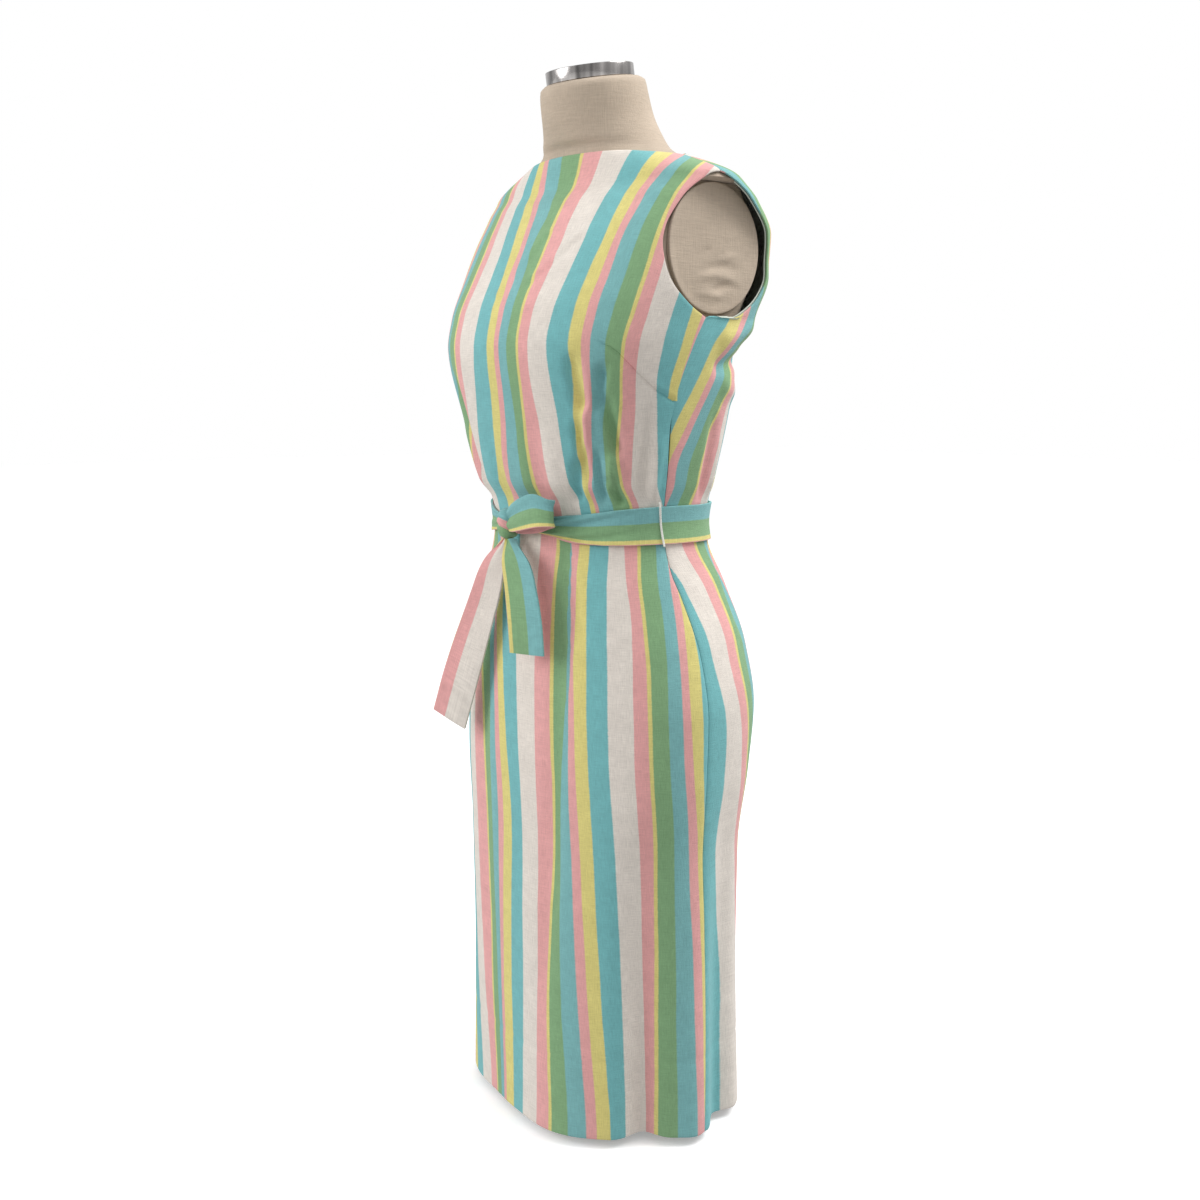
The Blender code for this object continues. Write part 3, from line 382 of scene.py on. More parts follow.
# the base's outline, from the middle of its top round to the middle below
BASE_PROFILE = MM * np.array((
    (0, 21), (23.5, 21), (25.5, 20.4), (26.8, 19), (28, 16), (30, 13), (33.5, 11.8),
    (40, 11.2), (86, 9), (88.5, 8.2), (90, 6), (90, 1.2), (88.8, 0), (0, 0),
))

SKIRT_SOFTEN = 0.030      # height over which a bend in the skirt's stripes is rounded
BODICE_SOFTEN = 0.010     # and in the bodice's
SOFT_STEPS = (-1.0, -0.5, 0.0, 0.5, 1.0)
LEAST_STRIPE = 1e-6       # keeps the edges of a table in their order
WAIST = 0.600
UNDERARM = 0.790
HEM = 0.009
HEM_DEPTH = 0.075         # height of the turned-up hem
HEM_BEND = 0.0017         # half the thickness of the doubled hem
SEAM_GAP = 0.0003
WELD = 0.00001            # points closer than this become one
# how deep a panel's edge rolls in, and over which reach
NO_ROLL = (0, 1)
SEAM_ROLL = (0.0008, 0.0020)
OPEN_ROLL = (0.0005, 0.0022)
# rounding of the cut edges
PANEL_EDGE = 0.0005
SASH_EDGE = 0.0008
FACING_EDGE = 0.0003
INWARDS, BOTH_WAYS = -1, 0    # which way a sheet's wall grows
FACING_WALL = 0.0010
FACING_SINK = 0.0016 + 4 * SEAM_GAP    # from the bodice's outer face to the facing's
DART_CREASE = 0.0008      # half width of the dart's sewn crease
DART_SEWN = 6.0           # degrees over which the sewn line starts
DART_LIFTS = ((-1, -0.0002), (0, -0.0011), (1, 0.0004), (2, 0.0002))   # row, lift
FORM_STEP = 0.005         # the most between two levels of the form's cover
# levels at which the form's cover is given
FORM_HEIGHTS = (0.418, 0.450, 0.480, 0.510, 0.540, 0.570, 0.600, 0.630, 0.660, 0.695, 0.730,
                0.765, 0.781, 0.791, 0.815, 0.840, 0.870, 0.890, 0.904, 0.913, 0.9148,
                0.926, 0.934, 0.9418, 0.9524, 0.9630, 0.974, 0.985, 1.008, 1.015, 1.0185)
SIDES = (("left", 1), ("right", -1))

# grid counts
SKIRT_ROWS = 150
SKIRT_COLUMNS = 72        # for a quarter of the skirt
BODICE_LOW_ROWS = 80
DART_ROW = 58             # the row of the bodice's grid that follows the dart
BODICE_TOP_ROWS = 56
BODICE_COLUMNS = 72       # for a quarter of the bodice
CURVE_STEPS = 24
EDGE_POINTS = 193
HEM_ROWS = 16
BEND_ROWS = 7
FORM_COLUMNS = 160
FACING_COLUMNS = 9        # of the bodice's columns, in from the armhole
FACING_END = 6            # of its rows, left free at either end
SASH_COLUMNS = 288
SASH_ROWS = 25
LOOP_ROWS = 21
KNOT_ROWS, KNOT_COLUMNS = 65, 129
ROUTE_POINTS = 97         # along the loop and the loose ends
CARRIER_ROWS, CARRIER_COLUMNS = 61, 13
ROUND_CORNERS = 96        # of the plates, the cap and the base
POLE_CORNERS = 64

# weave of the striped cloth: noise waves per metre across and along the stripes
STRIPE_WANDER = (60.0, 14.0, 1.0)
STRIPE_FRAY = (200.0, 900.0, 1.0)
WARP = (1500.0, 90.0, 1.0)
WEFT = (90.0, 1500.0, 1.0)
MOTTLE = (55.0, 55.0, 1.0)
WANDER_WIDTH, FRAY_WIDTH = 0.0016, 0.0009      # how far the stripe edges stray
STRIPE_BLUR = 0.00035     # half the width over which two colours meet
NOISE_SPAN = (0.3, 0.7)   # the part of a noise's range that shading uses
# the stripes in their order: colour, and the setting that holds the width
STRIPE_BANDS = (("pink", "pink_width"), ("yellow", "edging_width"), ("green", "green_width"),
                ("aqua", "aqua_width"), ("pink", "narrow_pink_width"),
                ("yellow", "yellow_width"), ("turquoise", "turquoise_width"),
                ("white", "white_width"))

# the studio
OPAQUE_WHITE = (1.0, 1.0, 1.0, 1.0)
FLOOR_SIZE = 30.0
FLOOR_GLOW = 0.27
SKY_SPAN = (-0.7, 0.9)    # from which to which rise the studio's light climbs
LAMP_SIZE = 2.0
LAMP_DISTANCE = 3.0
LAMP_AIM = 0.6            # height that the lamps look at
KEY_AZIMUTH, KEY_RISE = -27.0, 19.0
BACK_AZIMUTH, BACK_RISE = 140.0, 50.0
SENSOR_WIDTH = 36.0


# ------------------------------------------------------------ properties
def colour_property(name, text, value):
    return bpy.props.FloatVectorProperty(name=name, description=text, default=value,
                                         subtype="COLOR", size=3, min=0, max=1)


def number_property(name, text, value, **kind):
    return bpy.props.FloatProperty(name=name, description=text, default=value, **kind)


def length_property(name, text, value):
    return number_property(name, text, value, min=0, subtype="DISTANCE", unit="LENGTH",
                           precision=4)


def angle_property(name, text, degrees):
    return number_property(name, text, math.radians(degrees), subtype="ANGLE", unit="ROTATION")


class SundressStripes(bpy.types.PropertyGroup):
    """Colours and widths of the cloth's stripes, in their order"""
    white: colour_property("White", "Colour of the broad white stripe", (0.740, 0.680, 0.615))
    pink: colour_property("Pink", "Colour of the salmon pink stripes", (0.760, 0.380, 0.370))
    yellow: colour_property("Yellow", "Colour of the yellow stripes", (0.700, 0.620, 0.220))
    green: colour_property("Green", "Colour of the green stripe", (0.220, 0.390, 0.200))
    aqua: colour_property("Aqua", "Colour of the narrower blue stripe", (0.200, 0.450, 0.455))
    turquoise: colour_property("Turquoise", "Colour of the broad blue stripe",
                               (0.175, 0.460, 0.475))
    pink_width: length_property("Pink width", "Width of the wide pink stripe", 0.0130)
    edging_width: length_property("Edging width", "Width of the thin yellow stripe", 0.0040)
    green_width: length_property("Green width", "Width of the green stripe", 0.0165)
    aqua_width: length_property("Aqua width", "Width of the aqua stripe", 0.0155)
    narrow_pink_width: length_property("Narrow pink width", "Width of the narrow pink stripe",
                                       0.0105)
    yellow_width: length_property("Yellow width", "Width of the yellow stripe", 0.0137)
    turquoise_width: length_property("Turquoise width", "Width of the turquoise stripe", 0.0200)
    white_width: length_property("White width", "Width of the white stripe", 0.0220)


class SundressCloth(bpy.types.PropertyGroup):
    """Thickness and texture of the cloth"""
    wall: length_property("Cloth thickness", "Thickness of the panels", 0.0015)
    sash_wall: length_property("Sash thickness", "Thickness of the sash, two layers", SASH_WALL)
    facing: colour_property("Facing", "Colour of the facings inside the armholes",
                            (0.55, 0.60, 0.53))
    thread: colour_property("Thread", "Colour of the sewing thread and carriers",
                            (0.80, 0.80, 0.74))
    slub: number_property("Slub", "How uneven the threads look", 0.10, min=0, max=1,
                          subtype="FACTOR")
    weave_height: length_property("Weave height", "Height of the threads' relief", 0.00035)


class SundressForm(bpy.types.PropertyGroup):
    """Finish of the dress form and its stand"""
    linen: colour_property("Linen", "Colour of the form's cover", (0.500, 0.410, 0.320))
    cap: colour_property("Cap", "Colour of the plated cap and pole", (0.42, 0.40, 0.39))
    enamel: colour_property("Enamel", "Colour of the stand's base", (0.03, 0.03, 0.03))
    crinkle: length_property("Crinkle", "Depth of the creases in the arm plate's cover", 0.0017)


class SundressStage(bpy.types.PropertyGroup):
    """Floor, lights and camera"""
    floor: colour_property("Floor", "Colour of the floor and backdrop", (0.92, 0.92, 0.92))
    distance: length_property("Distance", "Level distance from the form to the camera", 1.5)
    height: length_property("Height", "Height of the camera", 0.72)
    azimuth: angle_property("Azimuth", "Camera's turn to the wearer's left", 50.0)
    pitch: angle_property("Pitch", "How far the camera looks down", 7.741)
    lens: number_property("Lens", "Focal length", 45.0, unit="CAMERA")
    low_light: number_property("Light from below",
                               "Strength of the studio's light from below", 0.46, min=0)
    high_light: number_property("Light from above",
                                "Strength of the studio's light from above", 0.84, min=0)
    key_power: number_property("Key light", "Power of the main soft light", 46.0, min=0,
                               subtype="POWER", unit="POWER")
    back_power: number_property("Back light", "Power of the light from behind the left side",
                                80.0, min=0, subtype="POWER", unit="POWER")


# ------------------------------------------------------------ body shape
def table_value(table, column, heights):
    """Smooth value of one column: a cubic that never overshoots its rows."""
    knots = table[:, 0]
    values = table[:, column]
    heights = np.clip(heights, knots[0], knots[-1])
    steps = np.diff(knots)
    slopes = np.diff(values) / steps
    tangents = np.zeros(len(values))
    tangents[0] = slopes[0]
    tangents[-1] = slopes[-1]
    for i in range(1, len(values) - 1):
        if slopes[i - 1] * slopes[i] > 0:
            before = 2 * steps[i] + steps[i - 1]
            after = steps[i] + 2 * steps[i - 1]
            tangents[i] = (before + after) / (before / slopes[i - 1] + after / slopes[i])
    cell = np.clip(np.searchsorted(knots, heights, side="right") - 1, 0, len(steps) - 1)
    t = (heights - knots[cell]) / steps[cell]
    step = steps[cell]
    return ((2 * t**3 - 3 * t**2 + 1) * values[cell]
            + (t**3 - 2 * t**2 + t) * step * tangents[cell]
            + (3 * t**2 - 2 * t**3) * values[cell + 1]
            + (t**3 - t**2) * step * tangents[cell + 1])


def section_point(table, angle, height):
    """Point of a section: angle 0 is the front, +90 degrees the left side."""
    angle, height = np.broadcast_arrays(np.asarray(angle, float), np.asarray(height, float))
    sine = np.sin(angle)
    cosine = np.cos(angle)
    front = cosine > 0
    power = 2.0 / np.where(front, table_value(table, 5, height), table_value(table, 6, height))
    depth = np.where(front, table_value(table, 2, height), table_value(table, 3, height))
    x = table_value(table, 1, height) * np.sign(sine) * np.abs(sine) ** power
    y = table_value(table, 4, height) - depth * np.sign(cosine) * np.abs(cosine) ** power
    return np.stack([x, y, height], axis=-1)


def section_angle(table, point):
    """The angle at which a point lies on the section of its own height."""
    height = point[..., 2]
    offset = table_value(table, 4, height) - point[..., 1]
    front = offset > 0
    square = np.where(front, table_value(table, 5, height), table_value(table, 6, height))
    depth = np.where(front, table_value(table, 2, height), table_value(table, 3, height))
    across = point[..., 0] / table_value(table, 1, height)
    along = offset / depth
    return np.arctan2(np.sign(across) * np.abs(across) ** (square / 2),
                      np.sign(along) * np.abs(along) ** (square / 2))


def smooth_step(t):
    t = np.clip(t, 0.0, 1.0)
    return t * t * (3 - 2 * t)


def fold_depth(folds, angle, height):
    """How far all the folds together move the cloth at a place."""
    total = np.zeros(np.broadcast(angle, height).shape)
    for top_angle, top, low_angle, low, half_width, top_depth, low_depth in folds:
        along = (height - low) / (top - low)
        line = np.radians(low_angle + (top_angle - low_angle) * np.clip(along, 0, 1))
        turn = (angle - line + math.pi) % (2 * math.pi) - math.pi
        across = np.clip(np.abs(turn) * FOLD_RADIUS / half_width, 0, 1)
        fade = smooth_step((1 - along) / FOLD_FADE) * smooth_step(along / FOLD_FADE + (low < 0))
        depth = low_depth + (top_depth - low_depth) * np.clip(along, 0, 1)
        total += depth * fade * 0.5 * (1 + np.cos(math.pi * across))
    return total


def crease_depth(creases, angle, height):
    """The same for sewn lines and creases, which are sharp and straight."""
    total = np.zeros(np.broadcast(angle, height).shape)
    for start_angle, start, end_angle, end, half_width, depth in creases:
        first = np.array([math.radians(start_angle) * FOLD_RADIUS, start])
        run = np.array([math.radians(end_angle) * FOLD_RADIUS, end]) - first
        x = angle * FOLD_RADIUS - first[0]
        y = height - first[1]
        share = np.clip((x * run[0] + y * run[1]) / (run @ run), 0, 1)
        away = np.hypot(x - share * run[0], y - share * run[1])
        total += depth * np.exp(-(away / half_width) ** 2)
    return total


def level_normal(angle, height):
    """Outward direction of a section in its own plane."""
    turn = 0.004
    along = (section_point(GARMENT_SECTIONS, angle + turn, height)
             - section_point(GARMENT_SECTIONS, angle - turn, height))
    normal = np.stack([along[..., 1], -along[..., 0], np.zeros(along.shape[:-1])], axis=-1)
    return normal / np.linalg.norm(normal, axis=-1, keepdims=True)


def cloth_point(folds, angle, height, creases=()):
    """Point on the outer face of the cloth."""
    depth = fold_depth(folds, angle, height)
    if len(creases):
        depth = depth + crease_depth(creases, angle, height)
    return (section_point(GARMENT_SECTIONS, angle, height)
            + level_normal(angle, height) * depth[..., None])


def cloth_normal(folds, angle, height):
    """Outward normal of the cloth's outer face."""
    turn = 0.01
    rise = 0.001
    along = cloth_point(folds, angle + turn, height) - cloth_point(folds, angle - turn, height)
    up = cloth_point(folds, angle, height + rise) - cloth_point(folds, angle, height - rise)
    normal = np.cross(along, up)
    return normal / np.linalg.norm(normal, axis=-1, keepdims=True)


def through_points(points, count):
    """A smooth open curve through the points, in steps of equal length."""
    points = np.asarray(points, float)
    padded = np.vstack([2 * points[0] - points[1], points, 2 * points[-1] - points[-2]])
    fine = []
    for i in range(len(points) - 1):
        p0, p1, p2, p3 = padded[i:i + 4]
        for t in np.linspace(0, 1, CURVE_STEPS, endpoint=False):
            fine.append(0.5 * (2 * p1 + (p2 - p0) * t + (2 * p0 - 5 * p1 + 4 * p2 - p3) * t**2
                               + (3 * p1 - p0 - 3 * p2 + p3) * t**3))
    fine.append(points[-1])
    fine = np.array(fine)
    length = np.concatenate([[0], np.cumsum(np.linalg.norm(np.diff(fine, axis=0), axis=1))])
    places = np.linspace(0, length[-1], count)
    return np.stack([np.interp(places, length, fine[:, k]) for k in range(fine.shape[1])], axis=-1)


def edge_curve(rows, count):
    """A garment edge given as angles and heights, as points on the sections."""
    rows = np.array(rows, float)
    rows[:, 0] *= FOLD_RADIUS * math.pi / 180
    even = through_points(rows, count)
    return section_point(GARMENT_SECTIONS, even[:, 0] / FOLD_RADIUS, even[:, 1])


def seam_angle(height):
    return np.radians(table_value(SIDE_SEAM, 1, height))


# where the distance round the body from the centre front is measured
ROUND_HEIGHTS = np.linspace(0.0, 0.956, 240)
ROUND_ANGLES = np.radians(np.linspace(-180, 180, 721))


def measure_round():
    ring = section_point(GARMENT_SECTIONS, ROUND_ANGLES[None, :], ROUND_HEIGHTS[:, None])
    step = np.linalg.norm(np.diff(ring, axis=1), axis=-1)
    total = np.concatenate([np.zeros((len(ring), 1)), np.cumsum(step, axis=1)], axis=1)
    return total - total[:, [len(ROUND_ANGLES) // 2]]


ROUND_TABLE = measure_round()


def round_distance(angle, height):
    """Distance round the body from the centre front, to the left."""
    row = np.interp(height, ROUND_HEIGHTS, np.arange(len(ROUND_HEIGHTS)))
    column = np.interp(angle, ROUND_ANGLES, np.arange(len(ROUND_ANGLES)))
    r = np.minimum(row.astype(int), len(ROUND_HEIGHTS) - 2)
    c = np.minimum(column.astype(int), len(ROUND_ANGLES) - 2)
    low = ROUND_TABLE[r, c] * (1 - column + c) + ROUND_TABLE[r, c + 1] * (column - c)
    high = ROUND_TABLE[r + 1, c] * (1 - column + c) + ROUND_TABLE[r + 1, c + 1] * (column - c)
    return low * (1 - row + r) + high * (row - r)


def stripe_place(edges, distance, height, rounding=BODICE_SOFTEN):
    """Place on the flat cloth, across the stripes, from a table of stripe edges.

    rounding is the height over which the edges' bends are rounded.
    """
    heights = edges[0, 1:]
    places = edges[1:, 0]
    shape = distance.shape
    distance = distance.ravel()
    height = height.ravel()
    lines = sum(np.stack([np.interp(height + step * rounding, heights, row[1:])
                          for row in edges[1:]], axis=1) for step in SOFT_STEPS) / len(SOFT_STEPS)
    lines = np.maximum.accumulate(lines + np.arange(len(places)) * LEAST_STRIPE, axis=1)
    cell = np.clip((lines <= distance[:, None]).sum(axis=1) - 1, 0, len(places) - 2)
    pick = np.arange(len(distance))
    low = lines[pick, cell]
    high = lines[pick, cell + 1]
    share = (distance - low) / (high - low)
    inside = places[cell] + share * (places[cell + 1] - places[cell])
    lean = np.sign(places[-1] - places[0])
    before = places[0] + lean * (distance - lines[:, 0])
    after = places[-1] + lean * (distance - lines[:, -1])
    place = np.where(distance > lines[:, -1], after, inside)
    return np.where(distance < lines[:, 0], before, place).reshape(shape)


def behind(angle, height):
    """Distance round the body to the centre back."""
    return round_distance(np.full(height.shape, math.pi), height) - round_distance(angle, height)


def back_table(edges, place, heights=()):
    """Turns a table of stripe edges round, so that it counts from the centre back.

    Above, at the given heights, the stripes lie flat, side by side.
    """
    rows = behind(np.zeros(edges.shape[1] - 1), edges[0, 1:]) - edges[1:, 1:]
    flat = np.repeat(np.abs(edges[1:, :1] - place), len(heights), axis=1)
    table = np.hstack([edges[1:, :1], rows, flat])[::-1]
    top = np.append(edges[0], heights)
    return np.vstack([top, np.append(place, np.zeros(len(top) - 1)), table])

# ------------------------------------------------------------ mesh helpers
def deselect_all():
    if bpy.context.object and bpy.context.object.mode != "OBJECT":
        bpy.ops.object.mode_set(mode="OBJECT")
    bpy.ops.object.select_all(action="DESELECT")


def take(piece):
    """Makes the piece the only selected and the active one."""
    deselect_all()
    piece.select_set(True)
    bpy.context.view_layer.objects.active = piece


@contextlib.contextmanager
def editing(piece):
    """Edit mode on the piece alone, with all of it selected."""
    take(piece)
    bpy.ops.object.mode_set(mode="EDIT")
    bpy.ops.mesh.select_all(action="SELECT")
    yield
    bpy.ops.object.mode_set(mode="OBJECT")


def start(add, name, **settings):
    """Adds a primitive, alone selected, under the piece's name."""
    deselect_all()
    add(**settings)
    piece = bpy.context.object
    piece.name = piece.data.name = name
    return piece


def place_in_mesh(piece):
    """Leaves the object at the origin, unturned and unscaled."""
    take(piece)
    bpy.ops.object.transform_apply(location=True, rotation=True, scale=True)


def apply_modifiers(piece):
    take(piece)
    for modifier in list(piece.modifiers):
        bpy.ops.object.modifier_apply(modifier=modifier.name)


def soften(piece, width, segments, angle):
    """Applies the modifiers, and rounds the edges sharper than the angle in degrees."""
    soft = piece.modifiers.new("edge", "BEVEL")
    soft.width = width
    soft.segments = segments
    soft.limit_method = "ANGLE"
    soft.angle_limit = math.radians(angle)
    apply_modifiers(piece)


def smooth_by_angle(angle):
    bpy.ops.object.shade_smooth_by_angle(angle=math.radians(angle))


def select_faces(piece, wanted):
    """In edit mode, selects the faces whose centre and normal pass the test."""
    shape = bmesh.from_edit_mesh(piece.data)
    shape.select_mode = {"FACE"}
    for face in shape.faces:
        face.select_set(bool(wanted(face.calc_center_median(), face.normal)))
    shape.select_flush(False)
    bmesh.update_edit_mesh(piece.data)


def inset_end(piece, centre, out, steps):
    """Insets the end face that looks out at a centre; steps give width and lift."""
    centre, out = Vector(centre), Vector(out)

    def is_end(middle, normal):
        near = middle - centre
        return normal.dot(out) > 0.9 and (near - out * near.dot(out)).length < 0.001

    with editing(piece):
        for width, lift in steps:
            select_faces(piece, is_end)
            bpy.ops.mesh.inset(thickness=width, use_even_offset=True)
            bpy.ops.transform.translate(value=out * lift)


def cloth_sheet(name, points, places, wrap=False, choice=None):
    """An open sheet from a grid of points, with its places on the flat cloth.

    Where the cloth breaks at a dart or a wound strand, places is a list of
    grids, and choice says for each face which of them it reads.
    """
    rows, columns = points.shape[:2]
    last = columns if wrap else columns - 1
    r, c = np.meshgrid(np.arange(rows - 1), np.arange(last), indexing="ij")
    d = (c + 1) % columns
    faces = np.stack([r * columns + c, r * columns + d, (r + 1) * columns + d,
                      (r + 1) * columns + c], axis=-1).reshape(-1, 4)
    grids = [places] if choice is None else places
    corners = [np.stack([grid[r, c], grid[r, c + 1], grid[r + 1, c + 1], grid[r + 1, c]],
                        axis=-2) for grid in grids]
    corners = corners[0] if choice is None else np.choose(choice[..., None, None], corners)
    mesh = bpy.data.meshes.new(name)
    mesh.from_pydata(points.reshape(-1, 3).tolist(), [], faces.tolist())
    layer = mesh.uv_layers.new(name="cloth")
    layer.data.foreach_set("uv", corners.ravel())
    mesh.shade_smooth()
    piece = bpy.data.objects.new(name, mesh)
    bpy.context.scene.collection.objects.link(piece)
    return piece


def make_cloth(name, points, places, finishes, wall, edge, grows=INWARDS, **grid):
    """A sheet with its finishes, outside and inside, its wall and soft edges."""
    piece = cloth_sheet(name, points, places, **grid)
    dress_in(piece, *finishes)
    solid = piece.modifiers.new("wall", "SOLIDIFY")
    solid.thickness = wall
    solid.offset = grows
    solid.material_offset = len(finishes) - 1
    solid.material_offset_rim = 0
    soften(piece, edge, segments=2, angle=60)
    piece.data.shade_smooth()
    return piece


def grid_normals(points):
    along = np.gradient(points, axis=1)
    up = np.gradient(points, axis=0)
    normal = np.cross(along, up)
    return normal / np.maximum(np.linalg.norm(normal, axis=-1, keepdims=True), 1e-12)


def edge_distances(points):
    """Distance of each point from the grid's low, high, first and last edges."""
    across = np.linalg.norm(np.diff(points, axis=1), axis=-1)
    first = np.concatenate([np.zeros((len(points), 1)), np.cumsum(across, axis=1)], axis=1)
    upward = np.linalg.norm(np.diff(points, axis=0), axis=-1)
    low = np.concatenate([np.zeros((1, points.shape[1])), np.cumsum(upward, axis=0)], axis=0)
    return low, low[-1:] - low, first, first[:, -1:] - first


def roll_edges(points, rolls):
    """Rounds a panel's edges inwards: rolls gives each edge's depth and reach."""
    depth = sum(sink * np.exp(-(away / reach) ** 2)
                for away, (sink, reach) in zip(edge_distances(points), rolls))
    return points - grid_normals(points) * depth[..., None]


def pull_in(points):
    """Sets all four edges back a little, so that panels meet without crossing."""
    step = SEAM_GAP / 4
    for rows in (points, points.swapaxes(0, 1)):
        for edge, inside in ((0, 1), (-1, -2)):
            direction = rows[inside] - rows[edge]
            length = np.maximum(np.linalg.norm(direction, axis=-1, keepdims=True), 1e-9)
            rows[edge] += direction / length * np.minimum(step, length / 2)
    return points


def ride_as(piece, node):
    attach(piece, "root")
    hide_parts(node)


# ------------------------------------------------------------ materials
class Weaver:
    """Builds the nodes of a material or of the world."""

    def __init__(self, owner, shader="Principled BSDF"):
        owner.use_nodes = True
        self.owner = owner
        self.tree = owner.node_tree
        self.shader = self.tree.nodes[shader]

    def feed(self, item, inputs):
        for key, value in inputs.items():
            if isinstance(value, bpy.types.NodeSocket):
                self.tree.links.new(value, item.inputs[key])
            else:
                item.inputs[key].default_value = value

    def node(self, kind, inputs=None, **settings):
        item = self.tree.nodes.new("ShaderNode" + kind)
        for key, value in settings.items():
            setattr(item, key, value)
        self.feed(item, inputs or {})
        return item

    def object_place(self):
        return self.node("TexCoord").outputs["Object"]

    def math(self, operation, *values):
        return self.node("Math", dict(enumerate(values)), operation=operation).outputs[0]

    def noise(self, place, waves, detail, roughness=0.5):
        """Noise with so many waves per metre along each axis."""
        mapping = self.node("Mapping", {"Vector": place, "Scale": waves})
        return self.node("TexNoise", {"Vector": mapping.outputs["Vector"], "Scale": 1.0,
                                      "Detail": detail, "Roughness": roughness}).outputs["Fac"]

    def stray(self, noise, width):
        """A length that wanders to either side of nothing."""
        return self.math("MULTIPLY", self.math("SUBTRACT", noise, 0.5), width)

    def spread(self, amount, low, high, span=(0.0, 1.0), **settings):
        """The amount, spread from its span to the range from low to high."""
        return self.node("MapRange", {"Value": amount, "From Min": span[0], "From Max": span[1],
                                      "To Min": low, "To Max": high}, **settings).outputs["Result"]

    def shade(self, colour, low, high, noise):
        """The colour, darkened to low and lightened to high by a noise."""
        scale = self.spread(noise, low, high, NOISE_SPAN)
        return self.node("VectorMath", {0: colour, "Scale": scale},
                         operation="SCALE").outputs["Vector"]

    def paint(self, colour):
        item = self.node("RGB")
        item.outputs[0].default_value = opaque(colour)
        return item.outputs[0]

    def relief(self, height, depth):
        return self.node("Bump", {"Height": height, "Distance": depth}).outputs["Normal"]

    def finish(self, inputs):
        self.feed(self.shader, inputs)
        return self.owner


def opaque(colour):
    return (*colour, 1.0)


def stripe_ramp(weaver, place):
    """Colour of the cloth at a place across it."""
    stripes = bpy.context.scene.sundress_stripes
    repeat = sum(getattr(stripes, width) for _, width in STRIPE_BANDS)
    blur = STRIPE_BLUR / repeat
    stops = []
    low = 0.0
    for name, width in STRIPE_BANDS:
        colour = opaque(getattr(stripes, name))
        high = low + getattr(stripes, width) / repeat
        stops += [(low + blur, colour), (high - blur, colour)]
        low = high
    share = weaver.math("FRACT", weaver.math("DIVIDE", place, repeat))
    ramp = weaver.node("ValToRGB", {"Fac": share})
    elements = ramp.color_ramp.elements
    elements[0].position, elements[0].color = stops[0]
    elements[1].position, elements[1].color = stops[-1]
    for position, colour in stops[1:-1]:
        elements.new(position).color = colour
    return ramp.outputs["Color"]


def striped_cloth(name, reverse=False):
    """Matt slubbed plain weave with woven stripes, read from the panel's UV map."""
    cloth = bpy.context.scene.sundress_cloth
    weaver = Weaver(bpy.data.materials.new(name))
    flat = weaver.node("UVMap", uv_map="cloth").outputs["UV"]
    split = weaver.node("SeparateXYZ", {"Vector": flat})
    wander = weaver.noise(flat, STRIPE_WANDER, 2.0)
    fray = weaver.noise(flat, STRIPE_FRAY, 1.0)
    wobble = weaver.math("ADD", weaver.stray(wander, WANDER_WIDTH),
                         weaver.stray(fray, FRAY_WIDTH))
    across = weaver.math("ADD", split.outputs["X"], wobble)
    if reverse:
        across = weaver.math("SUBTRACT", SASH_FOLD * 2, across)
    warp = weaver.noise(flat, WARP, 3.0, 0.6)
    weft = weaver.noise(flat, WEFT, 3.0, 0.6)
    mottle = weaver.noise(flat, MOTTLE, 4.0)
    colour = stripe_ramp(weaver, across)
    for noise, slub in ((warp, cloth.slub), (weft, cloth.slub), (mottle, 0.4 * cloth.slub)):
        colour = weaver.shade(colour, 1.0 - slub, 1.0 + slub, noise)
    return weaver.finish({
        "Base Color": colour, "Roughness": weaver.spread(weft, 0.78, 0.95),
        "Specular IOR Level": 0.25, "Sheen Weight": 0.12, "Sheen Roughness": 0.5,
        "Normal": weaver.relief(weaver.math("ADD", warp, weft), cloth.weave_height)})


def plain_cloth(name, colour, slub, threads):
    """Plain woven cloth on Object coordinates, for linen, facings and thread."""
    weaver = Weaver(bpy.data.materials.new(name))
    place = weaver.object_place()
    run = threads * 0.06
    level = weaver.noise(place, (run, run, threads), 3.0, 0.6)
    upright = weaver.noise(place, (threads, threads, run), 3.0, 0.6)
    mottle = weaver.noise(place, (22.0, 22.0, 22.0), 4.0)
    tone = weaver.shade(weaver.paint(colour), 1.0 - slub, 1.0 + slub, level)
    tone = weaver.shade(tone, 1.0 - slub, 1.0 + slub, upright)
    return weaver.finish({
        "Base Color": weaver.shade(tone, 0.94, 1.05, mottle), "Roughness": 0.88,
        "Specular IOR Level": 0.25, "Sheen Weight": 0.08,
        "Normal": weaver.relief(weaver.math("ADD", level, upright), 0.0003)})


def plated_metal_painted_reflections(name, colour):
    """Bright plate with a fine brushed and lightly rubbed surface, and upright dark and bright
    streaks of painted reflection in its colour.
    """
    weaver = Weaver(bpy.data.materials.new(name))
    place = weaver.object_place()
    streaks = weaver.noise(place, (12.0, 12.0, 900.0), 3.0)
    smudges = weaver.noise(place, (30.0, 30.0, 30.0), 4.0)
    # painted reflection: this upright noise darkens and lightens the colour in vertical streaks,
    # standing in for a room mirrored in the plate
    upright = weaver.noise(place, (75.0, 75.0, 3.0), 2.0)
    return weaver.finish({
        "Base Color": weaver.shade(weaver.paint(colour), 0.25, 1.55, upright),
        "Roughness": weaver.spread(smudges, 0.10, 0.24), "Metallic": 1.0,
        "Normal": weaver.relief(streaks, 0.00004)})


